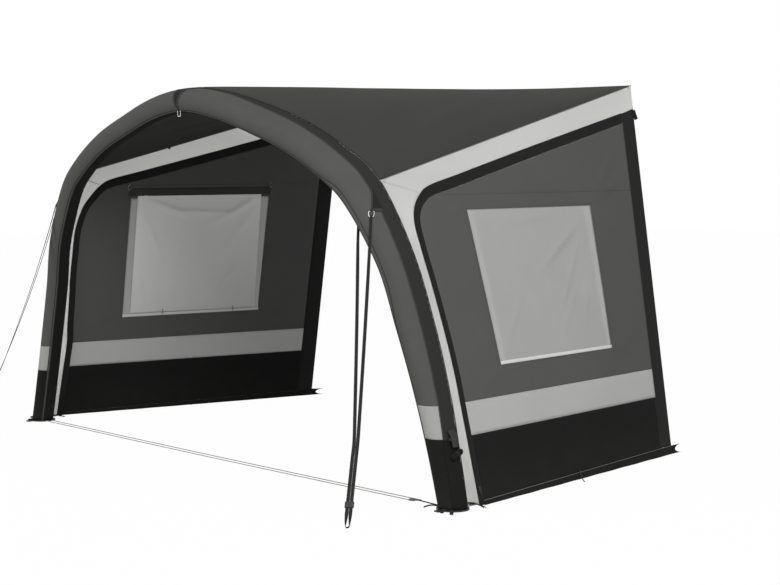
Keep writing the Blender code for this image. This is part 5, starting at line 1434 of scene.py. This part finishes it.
def makeGroundCord():
    # doubled from the left foot to the buckle's thimble and back, lying on the ground in between
    look = groundCord
    left, right = archCentre(np.array([-10.0, 10.0]))
    start = left[0] + math.sqrt(look["footRadius"]**2 - look["halfSpacing"]**2) + look["endGap"]
    s = np.linspace(0, 1, 65)
    x = start + (look["buckleX"] - start) * s
    z = look["height"] - (look["height"] - look["radius"]) * np.minimum(1, 4 * np.minimum(s, 1 - s))
    drift = look["drift"] * np.sin(turn * s * 1.5) * np.sin(math.pi * s)
    a, half = np.linspace(-math.pi / 2, math.pi / 2, 15)[1:-1], look["halfSpacing"]
    bow = np.stack([look["buckleX"] + half * np.cos(a), left[1] + half * np.sin(a),
                    np.full_like(a, look["height"])], -1)
    out = np.stack([x, left[1] - half + drift, z], -1)
    back = np.stack([x, left[1] + half + drift * 0.6, z], -1)[::-1]
    path = np.concatenate([out, bow, back])
    piece = rodPiece("groundCord", path, look["radius"], "cord", 10, replaces=["ground_cord"])
    end = right[0] - look["footRadius"] - look["endGap"]
    s = np.linspace(0, 1, 13)[:, None]
    line = np.array([look["webStart"], left[1], look["webHeight"]]) * (1 - s)
    line = line + np.array([end, left[1], look["webFoot"]]) * s
    _, across, up = carriedFrame(line)
    profile = flatProfile(look["webWidth"], look["webThickness"])
    sweepPiece("groundWebbing", line, across, up, profile, "webbing", replaces=["ground_webbing"])


makeGroundCord()

footLook = {   # short webbing ends round each foot: from and to in x and y from its middle, both heights
    "width": 0.022, "thickness": 0.0050, "bow": 0.008,
    1: [((0.060, -0.064), (0.122, -0.128), 0.009, 0.005),
        ((-0.085, -0.035), (-0.135, -0.100), 0.010, 0.005),
        ((0.030, -0.080), (0.050, -0.135), 0.012, 0.004),
        ((0.062, 0.060), (0.100, 0.160), 0.030, 0.005),
        ((0.050, 0.070), (0.066, 0.172), 0.024, 0.004),
        ((0.066, 0.052), (0.118, 0.128), 0.040, 0.010)],
    -1: [((-0.075, -0.045), (-0.140, -0.012), 0.014, 0.005),
         ((0.020, 0.070), (-0.030, 0.172), 0.030, 0.008),
         ((0.045, 0.066), (-0.006, 0.190), 0.026, 0.005),
         ((-0.020, -0.085), (-0.006, -0.118), 0.010, 0.004)],
}


def makeFootStraps(side, word):
    # each end leaves the foot plate, bows a little and lies down
    look = footLook
    middle = archCentre(np.array([10.0 * side]))[0]
    profile = flatProfile(look["width"], look["thickness"])
    for k, (start, end, high, low) in enumerate(look[side]):
        s = np.linspace(0, 1, 9)[:, None]
        a, b = np.array([*start, high]), np.array([*end, low])
        path = middle * [1, 1, 0] + a + (b - a) * s + [0, 0, look["bow"]] * np.sin(math.pi * s)
        _, across, up = carriedFrame(path)
        sweepPiece(f"footStrap_{word}_{k}", path, across, up, profile, "webbing")


for side, word in bothSides:
    makeFootStraps(side, word)
print("ground cord and foot straps made")

valveLook = {"height": 0.37, "angle": math.radians(-8), "shift": 0.014}
flapLook = {"width": 0.058, "length": 0.098, "rise": 0.052, "standoff": 0.024, "standRate": 1.8,
            "taperShare": 0.18, "lift": 0.0018, "curlShare": 0.10, "thickness": 0.0012, "binding": 0.0016}
rollLook = {"radius": 0.018, "length": 0.088, "drop": 0.085, "slope": 0.45, "gap": 0.0009,
            "spiralShare": 0.10, "uneven": 0.02, "endShare": 0.30, "squeeze": (0.10, 0.02, 0.09),
            "wave": (0.02, 40),
            "tieWidth": 0.012, "tieThickness": 0.0014, "tieShift": 0.002, "tieShare": 0.95}


def makeValveCover():
    # the flap hangs over the valve from its hinge line; below it lies the rolled-up cover with its tie
    valve, look = valveLook, flapLook
    size = faceLength(legStep(np.array([valve["height"]])), "front")[0]
    middle = arch["radius"] * (arch["innerSeam"] - valve["angle"]) / size + valve["shift"] / size
    hinge = valve["height"] + look["rise"]
    s = np.linspace(0, 1, 31)
    t = legStep(hinge - look["length"] * s)
    half = (look["width"] / 2 * (1 - look["taperShare"] * s) / faceLength(t, "front"))[:, None]
    j = np.linspace(-1, 1, 17)[None]
    stand = look["standoff"] * np.sin(math.pi / 2 * np.minimum(1, look["standRate"] * s))[:, None]
    lift = look["lift"] + stand * (1 - look["curlShare"] * j**2)
    grid, _ = sleevePoint(t, middle + half * j, "front", lift)
    piece = sheetPiece("valveFlap", grid, "flap", look["thickness"], body="valve_flap",
                       replaces=["valve_flap"])
    edge = np.concatenate([grid[1:, 0], grid[-1], grid[1:, -1][::-1]])
    rodPiece("valveFlapBinding", edge, look["binding"], "zip", 8, (0.3, 0.2, 1.0), body="valve_flap")
    makeValveRoll(legStep(np.array([valve["height"] - rollLook["drop"]])), middle)


def makeValveRoll(rollStep, middle):
    # the cover rolled up across the leg, squeezed where its tie goes round it
    look, place = rollLook, np.array([[middle]])
    seat = sleevePoint(rollStep, place, "front")[0][0, 0]
    core = sleevePoint(rollStep, place, "front", look["radius"] + look["gap"])[0][0, 0]
    radial = unit(core - seat)
    up = -archFrame(rollStep)[1][0]
    up = up if up[2] > 0 else -up
    lie = unit(up * look["slope"] + [0, 1, 0])
    lie = unit(lie - radial * (lie @ radial))
    s = np.linspace(-0.5, 0.5, 33)
    path = core + np.outer(s * look["length"], lie)
    a = np.linspace(0, turn, 41)[:-1]
    spiral = look["radius"] * (1 - look["spiralShare"] * a / turn) * (1 + look["uneven"] * np.cos(3 * a))
    profile = np.stack([spiral * np.cos(a), spiral * np.sin(a)], -1)
    share, waist, half = look["squeeze"]
    wave, rate = look["wave"]
    scale = 1 - look["endShare"] * np.abs(2 * s) ** 9 - share * np.exp(-((s - waist) / half) ** 2)
    scale = scale + wave * np.sin(s * rate)
    across = np.broadcast_to(unit(np.cross(lie, radial)), path.shape)
    over = np.broadcast_to(radial, path.shape)
    sweepPiece("valveCoverRoll", path, across, over, profile, "sleeveBlack", scale, replaces=["valve_roll"])
    shift = lie * look["tieShift"]
    circle = np.outer(np.cos(a), np.cross(lie, radial)) + np.outer(np.sin(a), radial)
    tie = core + shift + look["radius"] * look["tieShare"] * circle
    outwards = unit(tie - core - shift)
    profile = flatProfile(look["tieWidth"], look["tieThickness"])
    across = np.broadcast_to(lie, tie.shape)
    sweepPiece("valveCoverTie", tie, across, outwards, profile, "webbing", closed=True)


makeValveCover()
print("valve made")

for node, finish in (
        [(f"{name}_{word}", finish) for _, word in bothSides for name, finish in (
            ("foot_plate", "plastic"), ("shoulder_ring", "steel"), ("storm_buckle", "plastic"),
            ("zip_slider", "plastic"), ("zip_pull", "plastic"))]
        + [("apex_ring", "steel"), ("valve_collar", "plastic"), ("valve_cap", "plastic"),
           ("ground_buckle", "plastic"), ("rail_beading", "plastic")]):
    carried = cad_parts[node]
    carried.data.materials.clear()
    carried.data.materials.append(finishes[finish][0])
print("rigid pieces finished")


# Floor, light and background

lights = {"sky": 0.62, "lamps": [
    ("keyLamp", (9.3, -5.3, 6.4), (0, 0, 1.0), 4.0, 620.0),
    ("fillLamp", (-4.5, -9.6, 4.2), (0, 0, 1.0), 4.0, 290.0),
]}
floorLook = {"size": 60, "level": -0.0008, "colour": (0.58, 0.58, 0.58), "white": 0.985}


def cameraWhite(tree, share):
    # camera, glossy and transmitted rays see more white than the plain colour
    rays = addNode(tree, "LightPath").outputs
    seen = calc(tree, "MAXIMUM", calc(tree, "MAXIMUM", rays["Is Camera Ray"], rays["Is Glossy Ray"]),
                rays["Is Transmission Ray"])
    return calc(tree, "MULTIPLY", seen, share)


def makeStage():
    # floor and world at a plain level, white to the camera, and two disk lamps aimed at the middle
    look = floorLook
    bpy.ops.mesh.primitive_plane_add(size=look["size"], location=(0, 0, look["level"]))
    floor = bpy.context.object
    floor.name = "floor"
    material, tree, shader = startMaterial("pale floor", look["colour"], 0.9, Specular_IOR_Level=0.1)
    glow = addNode(tree, "Emission", {"Color": (1, 1, 1, 1), "Strength": 1.0})
    mixed = addNode(tree, "MixShader")
    tree.links.new(cameraWhite(tree, look["white"]), mixed.inputs[0])
    tree.links.new(shader.outputs[0], mixed.inputs[1])
    tree.links.new(glow.outputs[0], mixed.inputs[2])
    tree.links.new(mixed.outputs[0], tree.nodes["Material Output"].inputs[0])
    floor.data.materials.append(material)
    world = bpy.data.worlds.new("studio")
    scene.world = world
    world.use_nodes = True
    tree = world.node_tree
    background = tree.nodes["Background"]
    level = calc(tree, "ADD", cameraWhite(tree, 1.0 - lights["sky"]), lights["sky"])
    background.inputs[0].default_value = (1, 1, 1, 1)
    tree.links.new(level, background.inputs[1])
    for name, place, aim, size, power in lights["lamps"]:
        lamp = bpy.data.objects.new(name, bpy.data.lights.new(name, "AREA"))
        lamp.data.shape = "DISK"
        lamp.data.size = size
        lamp.data.energy = power
        lamp.location = place
        direction = np.array(aim, float) - place
        lamp.rotation_euler = (math.acos(-direction[2] / np.linalg.norm(direction)), 0,
                               math.atan2(direction[1], direction[0]) - math.pi / 2)
        scene.collection.objects.link(lamp)


makeStage()
scene.view_settings.view_transform = "Standard"
print("stage made")
